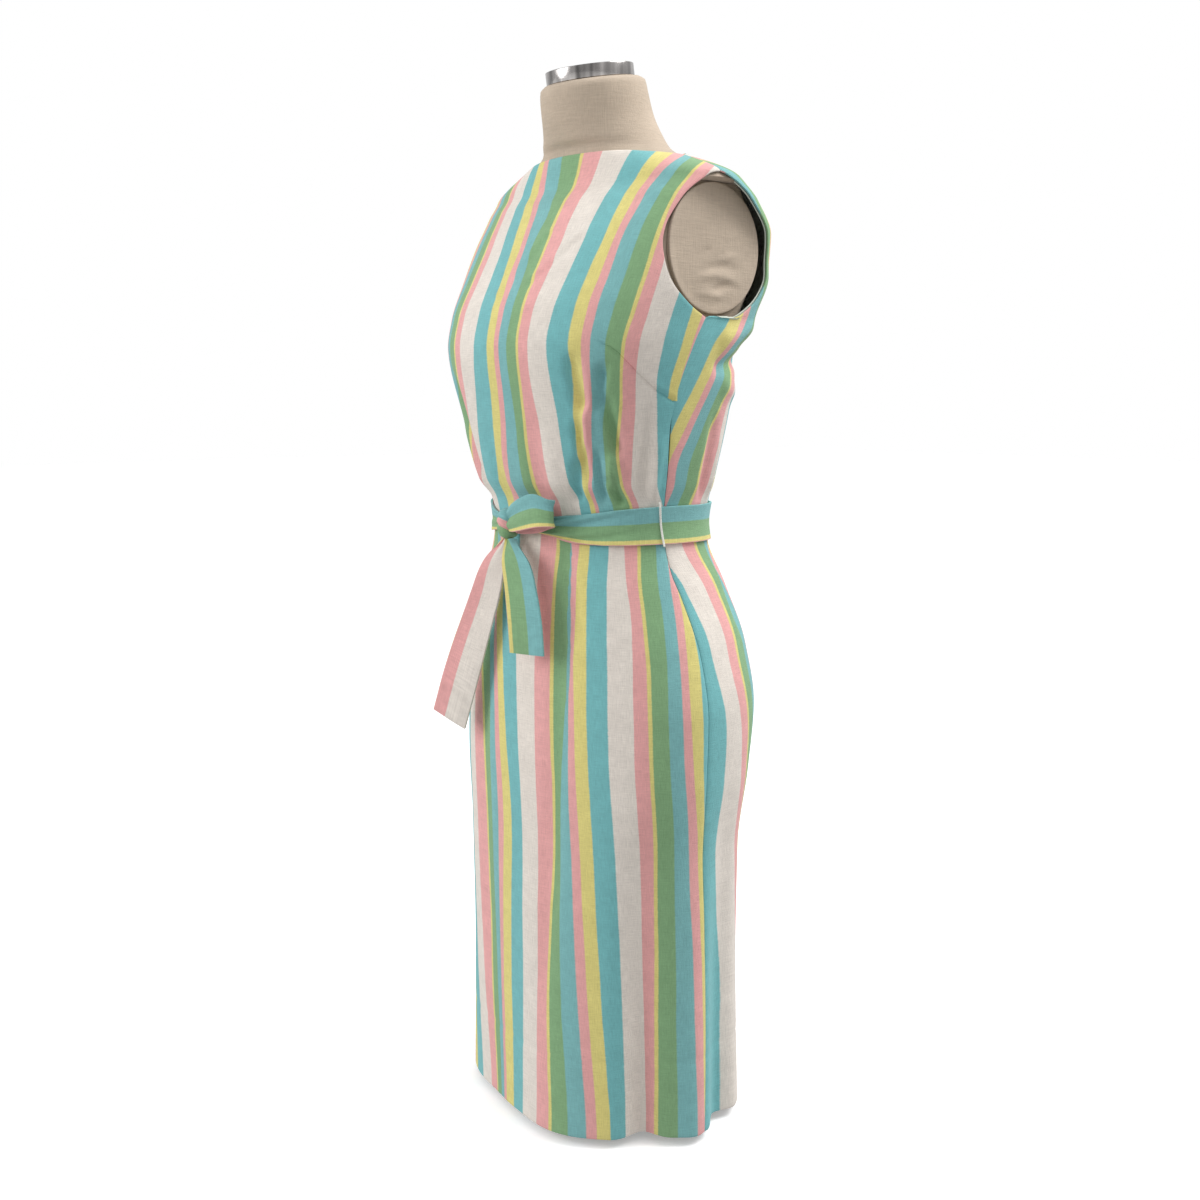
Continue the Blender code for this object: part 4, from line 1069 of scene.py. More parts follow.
def painted_iron(name, colour):
    """Dark enamel on a cast base, with a faint orange-peel surface."""
    weaver = Weaver(bpy.data.materials.new(name))
    place = weaver.object_place()
    peel = weaver.noise(place, (420.0, 420.0, 420.0), 3.0)
    dust = weaver.noise(place, (26.0, 26.0, 26.0), 5.0)
    return weaver.finish({
        "Base Color": weaver.shade(weaver.paint(colour), 0.85, 1.35, dust),
        "Roughness": weaver.spread(dust, 0.34, 0.55), "Normal": weaver.relief(peel, 0.0001)})


def pale_floor(name, colour):
    """A plain matt floor that glows a little, so that it meets the backdrop unseen."""
    weaver = Weaver(bpy.data.materials.new(name))
    grain = weaver.noise(weaver.object_place(), (90.0, 90.0, 90.0), 4.0)
    return weaver.finish({
        "Base Color": weaver.shade(weaver.paint(colour), 0.99, 1.01, grain), "Roughness": 0.95,
        "Specular IOR Level": 0.1, "Emission Color": OPAQUE_WHITE,
        "Emission Strength": FLOOR_GLOW})


def finish_of(name):
    """The named finish, made the first time that a piece asks for it."""
    scene = bpy.context.scene
    cloth, form = scene.sundress_cloth, scene.sundress_form
    make, *facts = {
        "striped cloth": (striped_cloth,),
        "striped cloth reverse": (striped_cloth, True),
        "facing cloth": (plain_cloth, cloth.facing, 0.05, 1400.0),
        "thread": (plain_cloth, cloth.thread, 0.12, 2600.0),
        "form linen": (plain_cloth, form.linen, 0.07, 1100.0),
        "plate with painted reflections": (plated_metal_painted_reflections, form.cap),
        "base enamel": (painted_iron, form.enamel),
        "pale floor": (pale_floor, scene.sundress_stage.floor),
    }[name]
    return bpy.data.materials.get(name) or make(name, *facts)


def dress_in(piece, *finishes):
    piece.data.materials.clear()
    for name in finishes:
        piece.data.materials.append(finish_of(name))


# ------------------------------------------------------------ skirt
def turn_up_hem(outer, height, place):
    """Adds to a skirt panel the hem that is turned up inside it, as lower rows."""
    normal = grid_normals(outer)
    normal[..., 2] = 0
    normal /= np.linalg.norm(normal, axis=-1, keepdims=True)
    depth = np.linspace(HEM_DEPTH, 0, HEM_ROWS, endpoint=False)
    rows = np.interp(height[0, 0] + depth, height[:, 0], np.arange(len(height)))
    low = np.floor(rows).astype(int)
    share = (rows - low)[:, None, None]
    inside = outer[low] * (1 - share) + outer[low + 1] * share
    across = normal[low] * (1 - share) + normal[low + 1] * share
    inside = inside - across * 2 * HEM_BEND
    bend = np.linspace(math.pi, 0, BEND_ROWS, endpoint=False)[:, None, None]
    fold = (outer[:1] - normal[:1] * HEM_BEND * (1 - np.cos(bend))
            - np.array([0, 0, 1.0]) * HEM_BEND * np.sin(bend))
    along = np.concatenate([-depth, np.zeros(BEND_ROWS), height[:, 0] - height[0, 0]])
    place = np.concatenate([place[low], np.repeat(place[:1], BEND_ROWS, axis=0), place])
    return np.concatenate([inside, fold, outer]), place, along


def skirt_sheet(name, angle, height, place):
    outer = cloth_point(SKIRT_FOLDS, angle, height, SKIRT_CREASES)
    outer = pull_in(roll_edges(outer, (NO_ROLL, NO_ROLL, SEAM_ROLL, SEAM_ROLL)))
    points, place, along = turn_up_hem(outer, height, place)
    places = np.stack([place, np.broadcast_to(along[:, None], place.shape)], axis=-1)
    return make_cloth(name, points, places, ("striped cloth",),
                      bpy.context.scene.sundress_cloth.wall, PANEL_EDGE)


def skirt_panels():
    heights = np.linspace(HEM + HEM_BEND, WAIST, SKIRT_ROWS + 1)[:, None]
    seam = seam_angle(heights)
    angle = np.linspace(-1, 1, 2 * SKIRT_COLUMNS + 1)[None, :] * seam
    height = np.broadcast_to(heights, angle.shape)
    place = stripe_place(SKIRT_EDGES, round_distance(angle, height), height, SKIRT_SOFTEN)
    front = skirt_sheet("skirt_front_cloth", angle, height, place)
    angle = seam + np.linspace(0, 1, SKIRT_COLUMNS + 1)[None, :] * (math.pi - seam)
    height = np.broadcast_to(heights, angle.shape)
    # the right back follows one stripe edge alone, and so lies evenly
    seen, even = (stripe_place(back_table(edges, SKIRT_CENTRE_PLACE), behind(angle, height),
                               height, SKIRT_SOFTEN)
                  for edges in (SKIRT_BACK_EDGES, SKIRT_BACK_EDGES[:2]))
    left = skirt_sheet("skirt_back_left_cloth", angle, height, seen)
    right = skirt_sheet("skirt_back_right_cloth", -angle[:, ::-1], height,
                        2 * SKIRT_CENTRE_PLACE - even[:, ::-1])
    ride_as(front, "skirt_front")
    ride_as(left, "skirt_back_left")
    ride_as(right, "skirt_back_right")


# ------------------------------------------------------------ bodice
def upper_grid(armhole, neckline, centre, shares, steps):
    """Angles and heights of the bodice above the underarm, on one quarter.

    shares runs from the centre line (0) to the armhole (1), steps from the
    underarm level (0) to the neckline and shoulder seam (1).
    """
    even = np.linspace(0, 1, EDGE_POINTS)
    underarm = seam_angle(UNDERARM)
    low = section_point(GARMENT_SECTIONS, centre + even * (underarm - centre), UNDERARM)
    middle = section_point(GARMENT_SECTIONS, centre, UNDERARM + even * (neckline[0][1] - UNDERARM))
    side = edge_curve(armhole, EDGE_POINTS)
    neck_count = int(round(NECK_SHARE * (EDGE_POINTS - 1))) + 1
    neck = edge_curve(neckline, neck_count)
    shoulder = edge_curve((neckline[-1], armhole[-1]), EDGE_POINTS - neck_count + 1)
    top = np.vstack([neck, shoulder[1:]])

    def along(curve, places):
        return np.stack([np.interp(places, even, curve[:, k]) for k in range(3)], axis=-1)

    s = shares[None, :, None]
    t = steps[:, None, None]
    corners = ((1 - s) * (1 - t) * low[0] + s * (1 - t) * low[-1]
               + (1 - s) * t * top[0] + s * t * top[-1])
    patch = ((1 - t) * along(low, shares)[None] + t * along(top, shares)[None]
             + (1 - s) * along(middle, steps)[:, None] + s * along(side, steps)[:, None]
             - corners)
    return section_angle(GARMENT_SECTIONS, patch), patch[..., 2]


def dart_shift(angles, heights):
    """How far the rows near the dart move so that one of them follows it."""
    level = heights[DART_ROW, 0]
    reach = np.where(heights > level, UNDERARM - level, level - WAIST)
    share = np.clip(1 - np.abs(heights - level) / reach, 0, 1)
    return share * (np.interp(np.degrees(angles), *DART_LINE.T) - level)[None, :]


def quarter_grid(armhole, neckline, centre):
    """The bodice's whole quarter, from the waist seam up; centre is 0 or pi."""
    shares = np.linspace(0, 1, BODICE_COLUMNS + 1)
    low_heights = np.linspace(WAIST, UNDERARM, BODICE_LOW_ROWS + 1)[:-1, None]
    low_angle = centre + shares[None, :] * (seam_angle(low_heights) - centre)
    low_height = np.broadcast_to(low_heights, low_angle.shape)
    top_angle, top_height = upper_grid(armhole, neckline, centre, shares,
                                       np.linspace(0, 1, BODICE_TOP_ROWS + 1))
    if centre == 0:
        low_height = low_height + dart_shift(low_angle[DART_ROW], low_heights)
        for row in (-1, 1):
            low_height[DART_ROW + row] = low_height[DART_ROW] + row * DART_CREASE
    else:
        top_angle[:, 0] = centre
    return np.vstack([low_angle, top_angle]), np.vstack([low_height, top_height])


def sew_dart(points, angle):
    """Sinks the dart's sewn line and lifts the cloth just above it."""
    turn = np.degrees(np.abs(angle[DART_ROW]))
    sewn = smooth_step((turn - DART_LINE[2][0]) / DART_SEWN)[:, None]
    normal = grid_normals(points)
    for row, lift in DART_LIFTS:
        points[DART_ROW + row] += normal[DART_ROW + row] * sewn * lift


def bodice_sheet(name, angle, height, places, rolls):
    """One bodice panel; places holds its grid, or those below and above a dart."""
    points = cloth_point(BODICE_FOLDS, angle, height, BODICE_CREASES)
    along = edge_distances(points)[0]
    grids = [np.stack([place, along], axis=-1) for place in places]
    choice = None
    if len(grids) > 1:
        sew_dart(points, angle)
        choice = np.zeros((points.shape[0] - 1, points.shape[1] - 1), int)
        choice[DART_ROW:] = 1
    return make_cloth(name, pull_in(roll_edges(points, rolls)),
                      grids[0] if choice is None else grids, ("striped cloth", "facing cloth"),
                      bpy.context.scene.sundress_cloth.wall, PANEL_EDGE, choice=choice)


def bodice_panels():
    angle, height = quarter_grid(ARMHOLE_FRONT, NECKLINE_FRONT, 0.0)
    angle = np.hstack([-angle[:, :0:-1], angle])
    height = np.hstack([height[:, :0:-1], height])
    distance = round_distance(angle, height)
    under = BODICE_EDGES.copy()
    for place, reach in UNDER_DART.items():
        under[np.isclose(under[:, 0], MM * place), 1:] += MM * reach
    places = [stripe_place(edges, distance, height) for edges in (under, BODICE_EDGES)]
    front = bodice_sheet("bodice_front_cloth", angle, height, places,
                         (SEAM_ROLL, OPEN_ROLL, OPEN_ROLL, OPEN_ROLL))
    angle, height = quarter_grid(ARMHOLE_BACK, NECKLINE_BACK, math.pi)
    edges = back_table(BODICE_BACK_EDGES, BODICE_CENTRE_PLACE, FLAT_BACK)
    place = stripe_place(edges, behind(angle, height), height)
    left = bodice_sheet("bodice_back_left_cloth", angle[:, ::-1], height[:, ::-1],
                        [place[:, ::-1]], (SEAM_ROLL, OPEN_ROLL, OPEN_ROLL, SEAM_ROLL))
    right = bodice_sheet("bodice_back_right_cloth", -angle, height,
                         [2 * place[0, 0] - place], (SEAM_ROLL, OPEN_ROLL, SEAM_ROLL, OPEN_ROLL))
    ride_as(front, "bodice_front")
    ride_as(left, "bodice_back_left")
    ride_as(right, "bodice_back_right")


def armhole_facings():
    """The turned-in strips along the back of the armholes."""
    angle, height = quarter_grid(ARMHOLE_BACK, NECKLINE_BACK, math.pi)
    rows = slice(BODICE_LOW_ROWS + FACING_END, -FACING_END)
    columns = slice(-FACING_COLUMNS - 1, None)
    for hand, side in SIDES:
        turn, level = side * angle[rows, columns][:, ::-side], height[rows, columns][:, ::-side]
        points = cloth_point(BODICE_FOLDS, turn, level)
        points = points - cloth_normal(BODICE_FOLDS, turn, level) * FACING_SINK
        upward, _, inward, _ = edge_distances(points)
        piece = make_cloth("armhole_facing_" + hand + "_cloth", points,
                           np.stack([inward, upward], axis=-1), ("facing cloth",),
                           FACING_WALL, FACING_EDGE)
        ride_as(piece, "armhole_facing_" + hand)


# ------------------------------------------------------------ sash
def waves(share, angle, rows):
    return sum(height * np.sin(share * up + angle * around) for up, around, height in rows)


def hump(place, middle_and_reach):
    """1 at the middle, fading to 0 on both sides of it."""
    middle, reach = middle_and_reach
    return np.exp(-((place - middle) / reach) ** 2)


def sash_creases(angle, share):
    """Lengthwise creases that gather into the knot; share runs up the sash."""
    return (hump(angle, KNOT_PULL) * (waves(share, angle, KNOT_GATHERS) - KNOT_SINK)
            + hump(angle, SIDE_PULL) * waves(share, angle, SIDE_GATHERS) + SASH_LIFT)


def even_out(edge):
    """Rounds the corners of a line that runs round the waist."""
    for _ in range(SASH_ROUNDS):
        edge = np.convolve(np.pad(edge, SASH_SPAN // 2, mode="wrap"),
                           np.ones(SASH_SPAN) / SASH_SPAN, mode="valid")
    return edge


def across_sash(share):
    """Place on the cloth of a share of the sash's width."""
    return SASH_FOLD + share * (SASH_TOP - SASH_FOLD)


def sash_cloth(name, points, across, along, grows, **grid):
    """A stretch of the sash, from places across it and along it."""
    places = np.stack(np.broadcast_arrays(across, along), axis=-1)
    return make_cloth(name, points, places, ("striped cloth", "striped cloth reverse"),
                      bpy.context.scene.sundress_cloth.sash_wall, SASH_EDGE, grows, **grid)


def sash_band():
    angle = np.linspace(-math.pi, math.pi, SASH_COLUMNS + 1)
    low, high = (even_out(np.interp(np.degrees(angle), SASH_EDGES[:, 0], SASH_EDGES[:, k]))
                 for k in (1, 2))
    share = np.linspace(0, 1, SASH_ROWS)[:, None]
    height = low + share * (high - low)
    angle = np.broadcast_to(angle, height.shape)
    level = np.clip(height, WAIST - SASH_REACH, WAIST + SASH_REACH)
    stand_off = (SASH_CLEAR + bpy.context.scene.sundress_cloth.sash_wall
                 + sash_creases(angle, share))
    points = section_point(GARMENT_SECTIONS, angle, level)
    points = points + level_normal(angle, level) * stand_off[..., None]
    points[..., 2] = height
    piece = sash_cloth("sash_band_cloth", points[:, :-1], across_sash(share),
                       angle * SASH_RADIUS, INWARDS, wrap=True)
    ride_as(piece, "belt_band")


def sash_knot():
    """The knot: an upper and a lower strand wound round it, and a thin one between."""
    knot = KNOT
    lift, turn = np.meshgrid(np.linspace(-math.pi / 2, math.pi / 2, KNOT_ROWS),
                             np.linspace(-math.pi, math.pi, KNOT_COLUMNS), indexing="ij")
    half = knot["half_strand"]
    across = lift + knot["lift"] - knot["slant"] * np.cos(turn + knot["slant_turn"])
    groove = np.exp(-((np.abs(across) - half) / knot["groove_width"]) ** 2) * np.cos(lift)
    pleat = (np.sin(knot["pleats"] * across + knot["pleat_wander"] * np.sin(turn))
             * np.cos(lift) * (np.abs(across) > half))
    swell = 1.0 - knot["groove"] * groove + knot["pleat"] * pleat
    flat = np.cos(lift) ** knot["squareness"]
    rise = np.sign(lift) * np.abs(np.sin(lift)) ** knot["squareness"]
    points = np.stack([knot["x"] + knot["half_x"] * swell * flat * np.sin(turn),
                       knot["y"] - knot["half_y"] * swell * flat * np.cos(turn),
                       knot["z"] + knot["half_z"] * rise], axis=-1)
    along = turn * knot["radius"]
    strands = [np.stack([place + step * (across + shift), along], axis=-1)
               for place, step, shift in KNOT_STRANDS]
    middle = (across[:-1, :-1] + across[1:, 1:]) / 2
    choice = 1 + (middle > half) - (middle < -half)
    piece = cloth_sheet("sash_knot_cloth", points[:, :-1], strands, wrap=True, choice=choice)
    with editing(piece):
        bpy.ops.mesh.remove_doubles(threshold=WELD)
    piece.data.shade_smooth()
    dress_in(piece, "striped cloth")
    ride_as(piece, "belt_knot")


def sash_loop():
    route = through_points(LOOP_ROUTE, ROUTE_POINTS)
    length = np.linspace(0, 1, ROUTE_POINTS)[:, None]
    share = np.linspace(-0.5, 0.5, LOOP_ROWS)[None, :]
    bell = np.sin(length * math.pi) ** 0.5
    shapes = (1, bell, hump(length, LOOP_FOLD), hump(length, LOOP_INSIDE))
    width, rise = (sum(size * shape for size, shape in zip(sizes, shapes))
                   for sizes in (LOOP_WIDTH, LOOP_RISE))
    rise = rise - LOOP_TILT * np.cos(length * math.pi)
    ripple = LOOP_RIPPLE * np.sin(share * 12.0 + 4.0 * length) * (1.3 - bell)
    belly = LOOP_BELLY * bell * np.cos(share * math.pi)
    along = np.gradient(route, axis=0)
    along[:, 2] = 0
    along /= np.linalg.norm(along, axis=1, keepdims=True)
    outward = np.stack([along[:, 1], -along[:, 0], along[:, 2]], axis=-1)
    points = np.repeat(route[:, None, :], LOOP_ROWS, axis=1)
    points[..., 2] = route[:, 2:3] + rise + share * width
    points = points - outward[:, None, :] * (ripple - belly)[..., None]
    piece = sash_cloth("sash_loop_cloth", points, across_sash(share + 0.5), length * LOOP_LENGTH,
                       BOTH_WAYS)
    ride_as(piece, "belt_loop")


def sash_ends():
    """The loose ends that hang from the knot; the long one is cut off at a slant."""
    share = np.linspace(-0.5, 0.5, SASH_ROWS)[None, :]
    length = np.linspace(0, 1, ROUTE_POINTS)[:, None]
    gather = hump(length, (0, END_GATHER_REACH))
    for name, node, slot, table, slant, left_place, right_place, wave in SASH_ENDS:
        route = through_points(table, ROUTE_POINTS)
        turn = np.radians(route[:, 3:4])
        reach = share * route[:, 4:5]
        bend = (END_GATHER * gather * np.sin(share * 9.0 + 1.0)
                + wave * np.sin(length * 7.0 + share * 3.0) * (1 - gather))
        points = np.stack([route[:, 0:1] + reach * np.cos(turn) + bend * np.sin(turn),
                           route[:, 1:2] + reach * np.sin(turn) - bend * np.cos(turn),
                           route[:, 2:3] - length ** 3 * share * slant], axis=-1)
        across = left_place + (share + 0.5) * (right_place - left_place)
        down = np.linalg.norm(np.diff(route[:, :3], axis=0), axis=1).sum()
        piece = sash_cloth(name, points[::-1], across, -length[::-1] * down, BOTH_WAYS)
        ride_as(piece, node)


def thread_carriers():
    """The thread bars at the side seams that hold the sash."""
    bar = CARRIER
    rise = np.linspace(bar["low"], bar["high"], CARRIER_ROWS)[:, None]
    around = np.linspace(0, 2 * math.pi, CARRIER_COLUMNS)[None, :]
    level = np.clip(rise, -SASH_REACH, SASH_REACH) + WAIST
    twist = 1 + bar["twist"] * np.sin(rise * bar["twists"] + around)
    out = SASH_CLEAR + SASH_WALL + 3 * SEAM_GAP + bar["half_depth"]
    for hand, side in SIDES:
        turn = side * (bar["turn"] - bar["lean"] * rise / bar["high"])
        normal = level_normal(turn, level)
        tangent = np.stack([-normal[..., 1], normal[..., 0], normal[..., 2]], axis=-1)
        points = (section_point(GARMENT_SECTIONS, turn, level)
                  + normal * (out + bar["half_depth"] * np.cos(around) * twist)[..., None]
                  + tangent * (bar["half_width"] * np.sin(around) * twist)[..., None])
        points[..., 2] = rise + WAIST
        places = np.stack(np.broadcast_arrays(around * bar["radius"], rise), axis=-1)
        piece = cloth_sheet("carrier_" + hand + "_thread", points[:, :-1], places, wrap=True)
        close_ends(piece)
        dress_in(piece, "thread")
        ride_as(piece, "belt_carrier_" + hand)


def close_ends(piece):
    """Closes the open ends of a tube."""
    with editing(piece):
        bpy.ops.mesh.select_mode(type="EDGE")
        bpy.ops.mesh.select_all(action="DESELECT")
        bpy.ops.mesh.select_non_manifold()
        bpy.ops.mesh.edge_face_add()
        bpy.ops.mesh.select_all(action="SELECT")
        bpy.ops.mesh.normals_make_consistent(inside=False)
    piece.data.shade_smooth()


# ------------------------------------------------------------ form and stand
def form_rings():
    """Height and scale of each level of the form's cover, from its foot up."""
    levels = [(FORM_FLOOR + rise, scale) for rise, scale in FORM_FOOT]
    last = levels[-1][0]
    for height in FORM_HEIGHTS:
        parts = max(2, int(math.ceil((height - last) / FORM_STEP)))
        levels += [(last + (height - last) * (k + 1) / parts, 1.0) for k in range(parts)]
        last = height
    return np.array(levels)


def form_point(turn, height, scale):
    """Points of the form's cover: its sections, cut off at the sides and tilted at the neck."""
    points = section_point(FORM_SECTIONS, turn, height)
    points[:, :2] *= scale[:, None]
    side = table_value(FORM_SECTIONS, 7, height)
    points[:, 0] = np.clip(points[:, 0], -side, side)
    points[:, 2] += table_value(FORM_SECTIONS, 8, height) * (
        points[:, 1] - table_value(FORM_SECTIONS, 4, height))
    return points


def form_cover():
    rings = form_rings()
    piece = start(bpy.ops.mesh.primitive_grid_add, "form_cover", x_subdivisions=FORM_COLUMNS,
                  y_subdivisions=len(rings) - 1, size=2)
    flat = np.empty(len(piece.data.vertices) * 3)
    piece.data.vertices.foreach_get("co", flat)
    flat = flat.reshape(-1, 3)
    row = (flat[:, 1] + 1) / 2 * (len(rings) - 1)
    height, scale = (np.interp(row, np.arange(len(rings)), rings[:, k]) for k in (0, 1))
    points = form_point(flat[:, 0] * math.pi, height, scale)
    piece.data.vertices.foreach_set("co", points.ravel())
    piece.data.update()
    with editing(piece):
        bpy.ops.mesh.remove_doubles(threshold=WELD)
        for top in (False, True):
            shape = bmesh.from_edit_mesh(piece.data)
            for edge in shape.edges:
                is_top = edge.verts[0].co.z + edge.verts[1].co.z > 2 * WAIST
                edge.select_set(edge.is_boundary and is_top == top)
            bmesh.update_edit_mesh(piece.data)
            bpy.ops.mesh.edge_face_add()
            bpy.ops.mesh.select_all(action="DESELECT")
    piece.data.shade_smooth()
    smooth_by_angle(50)
    dress_in(piece, "form linen")
    ride_as(piece, "form_torso")


def crinkle_cover(piece, side):
    """Creases the plate's outer face, where the cover was drawn over it loosely."""
    plate = ARM_PLATE
    depth = bpy.context.scene.sundress_form.crinkle
    for vertex in piece.data.vertices:
        y, z = vertex.co.y, vertex.co.z
        rim = math.hypot((y - plate["y"]) / plate["half_y"], (z - plate["z"]) / plate["half_z"])
        if side * vertex.co.x < plate["x"] + plate["depth"] - PLATE_FACE or rim > plate["rim"]:
            continue
        rise = 0.0
        for at_y, at_z, half_length, half_width, slant, share in PLATE_CREASES:
            turn = math.radians(slant)
            along = ((y - at_y) * math.cos(turn) + (z - at_z) * math.sin(turn)) / half_length
            away = ((z - at_z) * math.cos(turn) - (y - at_y) * math.sin(turn)
                    + CREASE_BOW * along**2) / half_width
            rise += share * math.exp(-along**2 - away**2)
        fade = min(1.0, (plate["rim"] - rim) / (1 - plate["rim"]))
        vertex.co.x += side * depth * rise * fade
    piece.data.update()


def arm_plates():
    plate = ARM_PLATE
    for hand, side in SIDES:
        centre = (side * (plate["x"] + plate["depth"] / 2), plate["y"], plate["z"])
        piece = start(bpy.ops.mesh.primitive_cylinder_add, "arm_plate_" + hand,
                      vertices=ROUND_CORNERS, radius=1, depth=plate["depth"], location=centre,
                      rotation=(0, math.radians(90), 0))
        piece.scale = (plate["half_z"], plate["half_y"], 1)
        place_in_mesh(piece)
        inset_end(piece, centre, (side, 0, 0), ARM_PLATE_STEPS)
        crinkle_cover(piece, side)
        soften(piece, width=0.0011, segments=4, angle=50)
        smooth_by_angle(40)
        dress_in(piece, "form linen")
        ride_as(piece, "form_arm_plate_" + hand)


def neck_cap():
    cap = NECK_CAP
    piece = start(bpy.ops.mesh.primitive_cylinder_add, "neck_cap_plate", vertices=ROUND_CORNERS,
                  radius=cap["radius"], depth=cap["depth"], location=(0, 0, 0))
    inset_end(piece, (0, 0, 0), (0, 0, 1), NECK_CAP_STEPS)
    soften(piece, width=0.0010, segments=3, angle=50)
    smooth_by_angle(40)
    piece.location = (0, cap["y"], cap["z"])
    piece.rotation_euler = (math.atan(cap["tilt"]), 0, 0)
    place_in_mesh(piece)
    dress_in(piece, "plate with painted reflections")
    ride_as(piece, "form_neck_cap")


def stand_pole():
    pole = POLE
    piece = start(bpy.ops.mesh.primitive_cylinder_add, "stand_pole", vertices=POLE_CORNERS,
                  radius=pole["radius"], depth=pole["length"],
                  location=(0, 0, pole["foot"] + pole["length"] / 2))
    place_in_mesh(piece)
    with editing(piece):
        select_faces(piece, lambda centre, normal: abs(normal.z) > 0.9)
        bpy.ops.mesh.inset(thickness=pole["rim"])
    soften(piece, width=0.0008, segments=2, angle=50)
    smooth_by_angle(40)
    dress_in(piece, "plate with painted reflections")
    ride_as(piece, "form_pole")


def stand_base():
    """The round base: its outline, spun round the pole's axis."""
    piece = start(bpy.ops.mesh.primitive_plane_add, "stand_base", size=0.001)
    piece.data.clear_geometry()
    piece.data.from_pydata([(x, 0, z) for x, z in BASE_PROFILE],
                           [(k, k + 1) for k in range(len(BASE_PROFILE) - 1)], [])
    turn = piece.modifiers.new("turn", "SCREW")
    turn.steps = turn.render_steps = ROUND_CORNERS
    turn.use_merge_vertices = True
    turn.merge_threshold = 5 * WELD
    apply_modifiers(piece)
    with editing(piece):
        bpy.ops.mesh.remove_doubles(threshold=WELD)
        bpy.ops.mesh.normals_make_consistent(inside=False)
    smooth_by_angle(35)
    dress_in(piece, "base enamel")
    ride_as(piece, "form_base")


# ------------------------------------------------------------ stage
def stage_floor():
    floor = start(bpy.ops.mesh.primitive_plane_add, "stage_floor", size=FLOOR_SIZE,
                  location=(0, 0, 0))
    dress_in(floor, "pale floor")
    floor.visible_diffuse = False


def add_to_scene(name, data):
    item = bpy.data.objects.new(name, data)
    bpy.context.scene.collection.objects.link(item)
    return item


def soft_light(name, power, azimuth, rise):
    """A round soft lamp aimed at the dress; azimuth and rise place it, in degrees."""
    data = bpy.data.lights.new(name, "AREA")
    data.energy = power
    data.shape = "DISK"
    data.size = LAMP_SIZE
    lamp = add_to_scene(name, data)
    azimuth, rise = math.radians(azimuth), math.radians(rise)
    level = LAMP_DISTANCE * math.cos(rise)
    lamp.location = (level * math.sin(azimuth), -level * math.cos(azimuth),
                     LAMP_AIM + LAMP_DISTANCE * math.sin(rise))
    lamp.rotation_euler = (math.pi / 2 - rise, 0, azimuth)


def stage_lights():
    """A white studio, brighter overhead than below, with two soft lamps."""
    stage = bpy.context.scene.sundress_stage
    weaver = Weaver(bpy.data.worlds.new("pale studio"), "Background")
    place = weaver.node("TexCoord").outputs["Generated"]
    rise = weaver.node("SeparateXYZ", {"Vector": place}).outputs["Z"]
    light = weaver.spread(rise, stage.low_light, stage.high_light, SKY_SPAN,
                         interpolation_type="SMOOTHSTEP")
    seen = weaver.node("LightPath").outputs["Is Camera Ray"]
    pick = weaver.node("Mix", {"Factor": seen, "A": light, "B": 1.0})
    bpy.context.scene.world = weaver.finish({"Color": OPAQUE_WHITE,
                                             "Strength": pick.outputs["Result"]})
    bpy.context.scene.view_settings.view_transform = "Standard"
    soft_light("key_light", stage.key_power, KEY_AZIMUTH, KEY_RISE)
    soft_light("back_light", stage.back_power, BACK_AZIMUTH, BACK_RISE)


def stage_camera():
    stage = bpy.context.scene.sundress_stage
    data = bpy.data.cameras.new("camera")
    data.lens = stage.lens
    data.sensor_width = SENSOR_WIDTH
    camera = add_to_scene("camera", data)
    camera.location = (stage.distance * math.sin(stage.azimuth),
                       -stage.distance * math.cos(stage.azimuth), stage.height)
    camera.rotation_euler = (math.pi / 2 - stage.pitch, 0, stage.azimuth)
    bpy.context.scene.camera = camera


# ------------------------------------------------------------ add-on
def finished(*makers):
    """Runs the makers, with nothing selected before and after, for an operator."""
    deselect_all()
    for make in makers:
        make()
    deselect_all()
    return {"FINISHED"}


class PieceOperator(bpy.types.Operator):
    bl_options = {"REGISTER", "UNDO"}


class SUNDRESS_OT_form_cover(PieceOperator):
    """Make the dress form's linen-covered body and neck"""
    bl_idname = "sundress.form_cover"
    bl_label = "Form Cover"

    def execute(self, context):
        return finished(form_cover)


class SUNDRESS_OT_arm_plates(PieceOperator):
    """Make the oval plates that close the form's armholes"""
    bl_idname = "sundress.arm_plates"
    bl_label = "Arm Plates"

    def execute(self, context):
        return finished(arm_plates)


class SUNDRESS_OT_neck_cap(PieceOperator):
    """Make the plated cap on the form's neck"""
    bl_idname = "sundress.neck_cap"
    bl_label = "Neck Cap"

    def execute(self, context):
        return finished(neck_cap)


class SUNDRESS_OT_stand(PieceOperator):
    """Make the stand's pole and round base"""
    bl_idname = "sundress.stand"
    bl_label = "Stand"

    def execute(self, context):
        return finished(stand_pole, stand_base)


class SUNDRESS_OT_skirt(PieceOperator):
    """Make the skirt's front and two back panels with their turned-up hem"""
    bl_idname = "sundress.skirt"
    bl_label = "Skirt"

    def execute(self, context):
        return finished(skirt_panels)


class SUNDRESS_OT_bodice(PieceOperator):
    """Make the bodice's front and two back panels"""
    bl_idname = "sundress.bodice"
    bl_label = "Bodice"

    def execute(self, context):
        return finished(bodice_panels)


class SUNDRESS_OT_facings(PieceOperator):
    """Make the facings inside the back of the armholes"""
    bl_idname = "sundress.facings"
    bl_label = "Armhole Facings"

    def execute(self, context):
        return finished(armhole_facings)


class SUNDRESS_OT_sash_band(PieceOperator):
    """Make the sash round the waist"""
    bl_idname = "sundress.sash_band"
    bl_label = "Sash Band"

    def execute(self, context):
        return finished(sash_band)


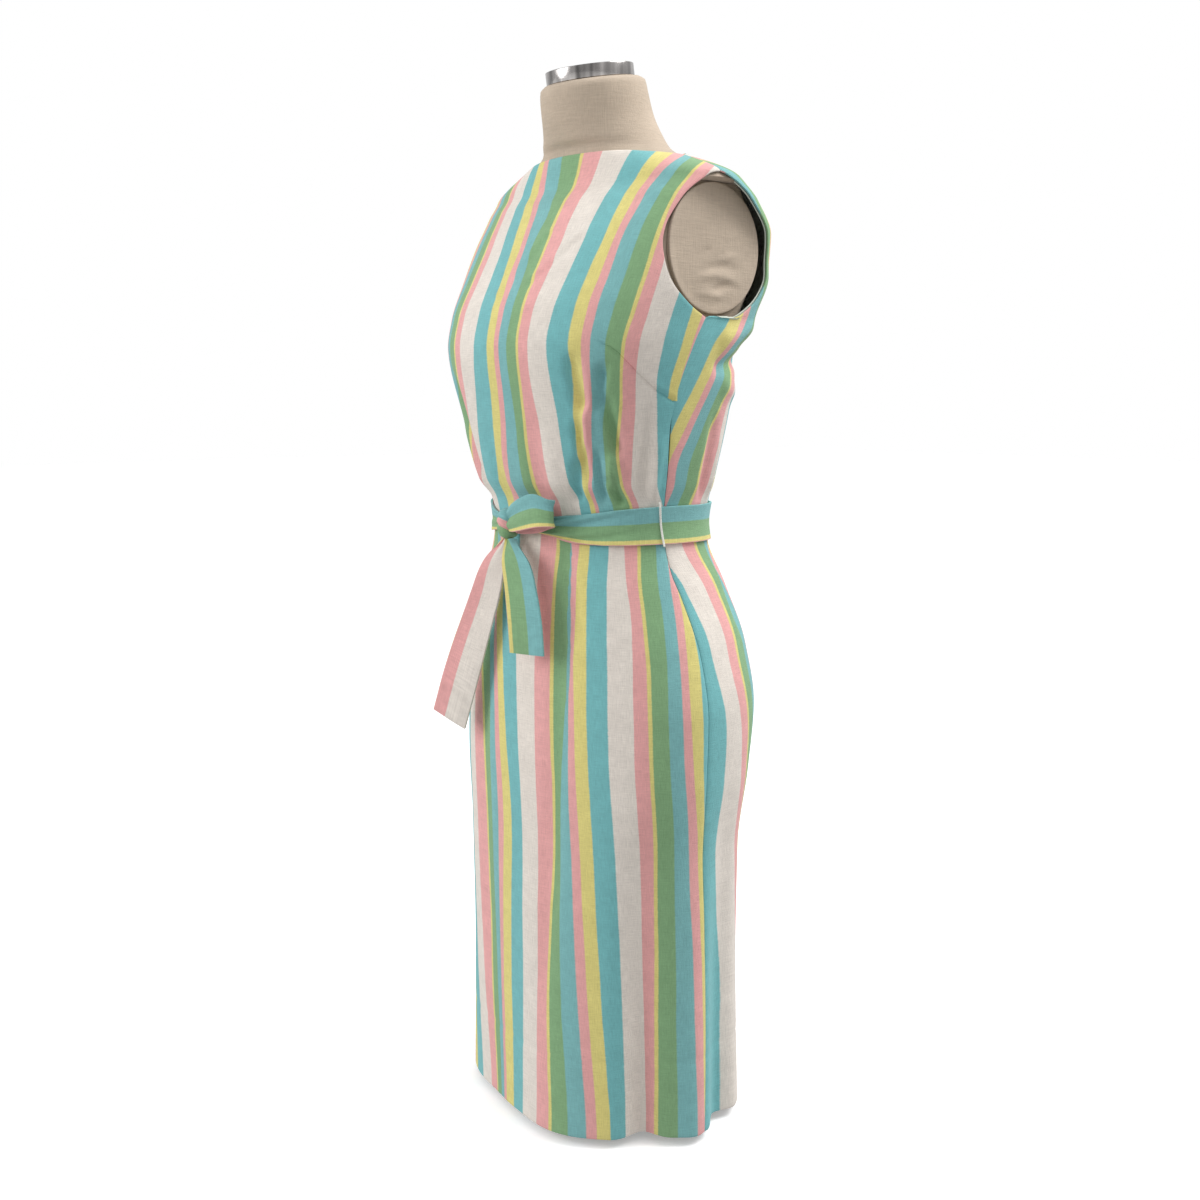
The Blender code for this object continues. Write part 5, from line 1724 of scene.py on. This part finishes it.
class SUNDRESS_OT_sash_bow(PieceOperator):
    """Make the sash's knot, loop and two loose ends"""
    bl_idname = "sundress.sash_bow"
    bl_label = "Sash Bow"

    def execute(self, context):
        return finished(sash_knot, sash_loop, sash_ends)


class SUNDRESS_OT_carriers(PieceOperator):
    """Make the thread carriers at the side seams"""
    bl_idname = "sundress.carriers"
    bl_label = "Thread Carriers"

    def execute(self, context):
        return finished(thread_carriers)


class SUNDRESS_OT_stage(PieceOperator):
    """Make the floor, the soft lights and the camera"""
    bl_idname = "sundress.stage"
    bl_label = "Stage"

    def execute(self, context):
        return finished(stage_floor, stage_lights, stage_camera)


PIECES = (
    SUNDRESS_OT_form_cover, SUNDRESS_OT_arm_plates, SUNDRESS_OT_neck_cap, SUNDRESS_OT_stand,
    SUNDRESS_OT_skirt, SUNDRESS_OT_bodice, SUNDRESS_OT_facings, SUNDRESS_OT_sash_band,
    SUNDRESS_OT_sash_bow, SUNDRESS_OT_carriers, SUNDRESS_OT_stage,
)
SETTINGS = (
    ("sundress_stripes", SundressStripes), ("sundress_cloth", SundressCloth),
    ("sundress_form", SundressForm), ("sundress_stage", SundressStage),
)


class SUNDRESS_PT_panel(bpy.types.Panel):
    """Lists the sundress's settings and pieces"""
    bl_idname = "SUNDRESS_PT_panel"
    bl_label = "Sundress"
    bl_space_type = "VIEW_3D"
    bl_region_type = "UI"
    bl_category = "Sundress"

    def draw(self, context):
        for name, group in SETTINGS:
            box = self.layout.box()
            for field in group.__annotations__:
                box.prop(getattr(context.scene, name), field)
        for piece in PIECES:
            self.layout.operator(piece.bl_idname)


def register():
    for name, group in SETTINGS:
        bpy.utils.register_class(group)
        setattr(bpy.types.Scene, name, bpy.props.PointerProperty(type=group))
    for item in (*PIECES, SUNDRESS_PT_panel):
        bpy.utils.register_class(item)


def unregister():
    for item in (SUNDRESS_PT_panel, *reversed(PIECES)):
        bpy.utils.unregister_class(item)
    for name, group in reversed(SETTINGS):
        delattr(bpy.types.Scene, name)
        bpy.utils.unregister_class(group)


def main():
    register()
    for piece in PIECES:
        family, action = piece.bl_idname.split(".")
        getattr(getattr(bpy.ops, family), action)()


if __name__ == "__main__":
    main()
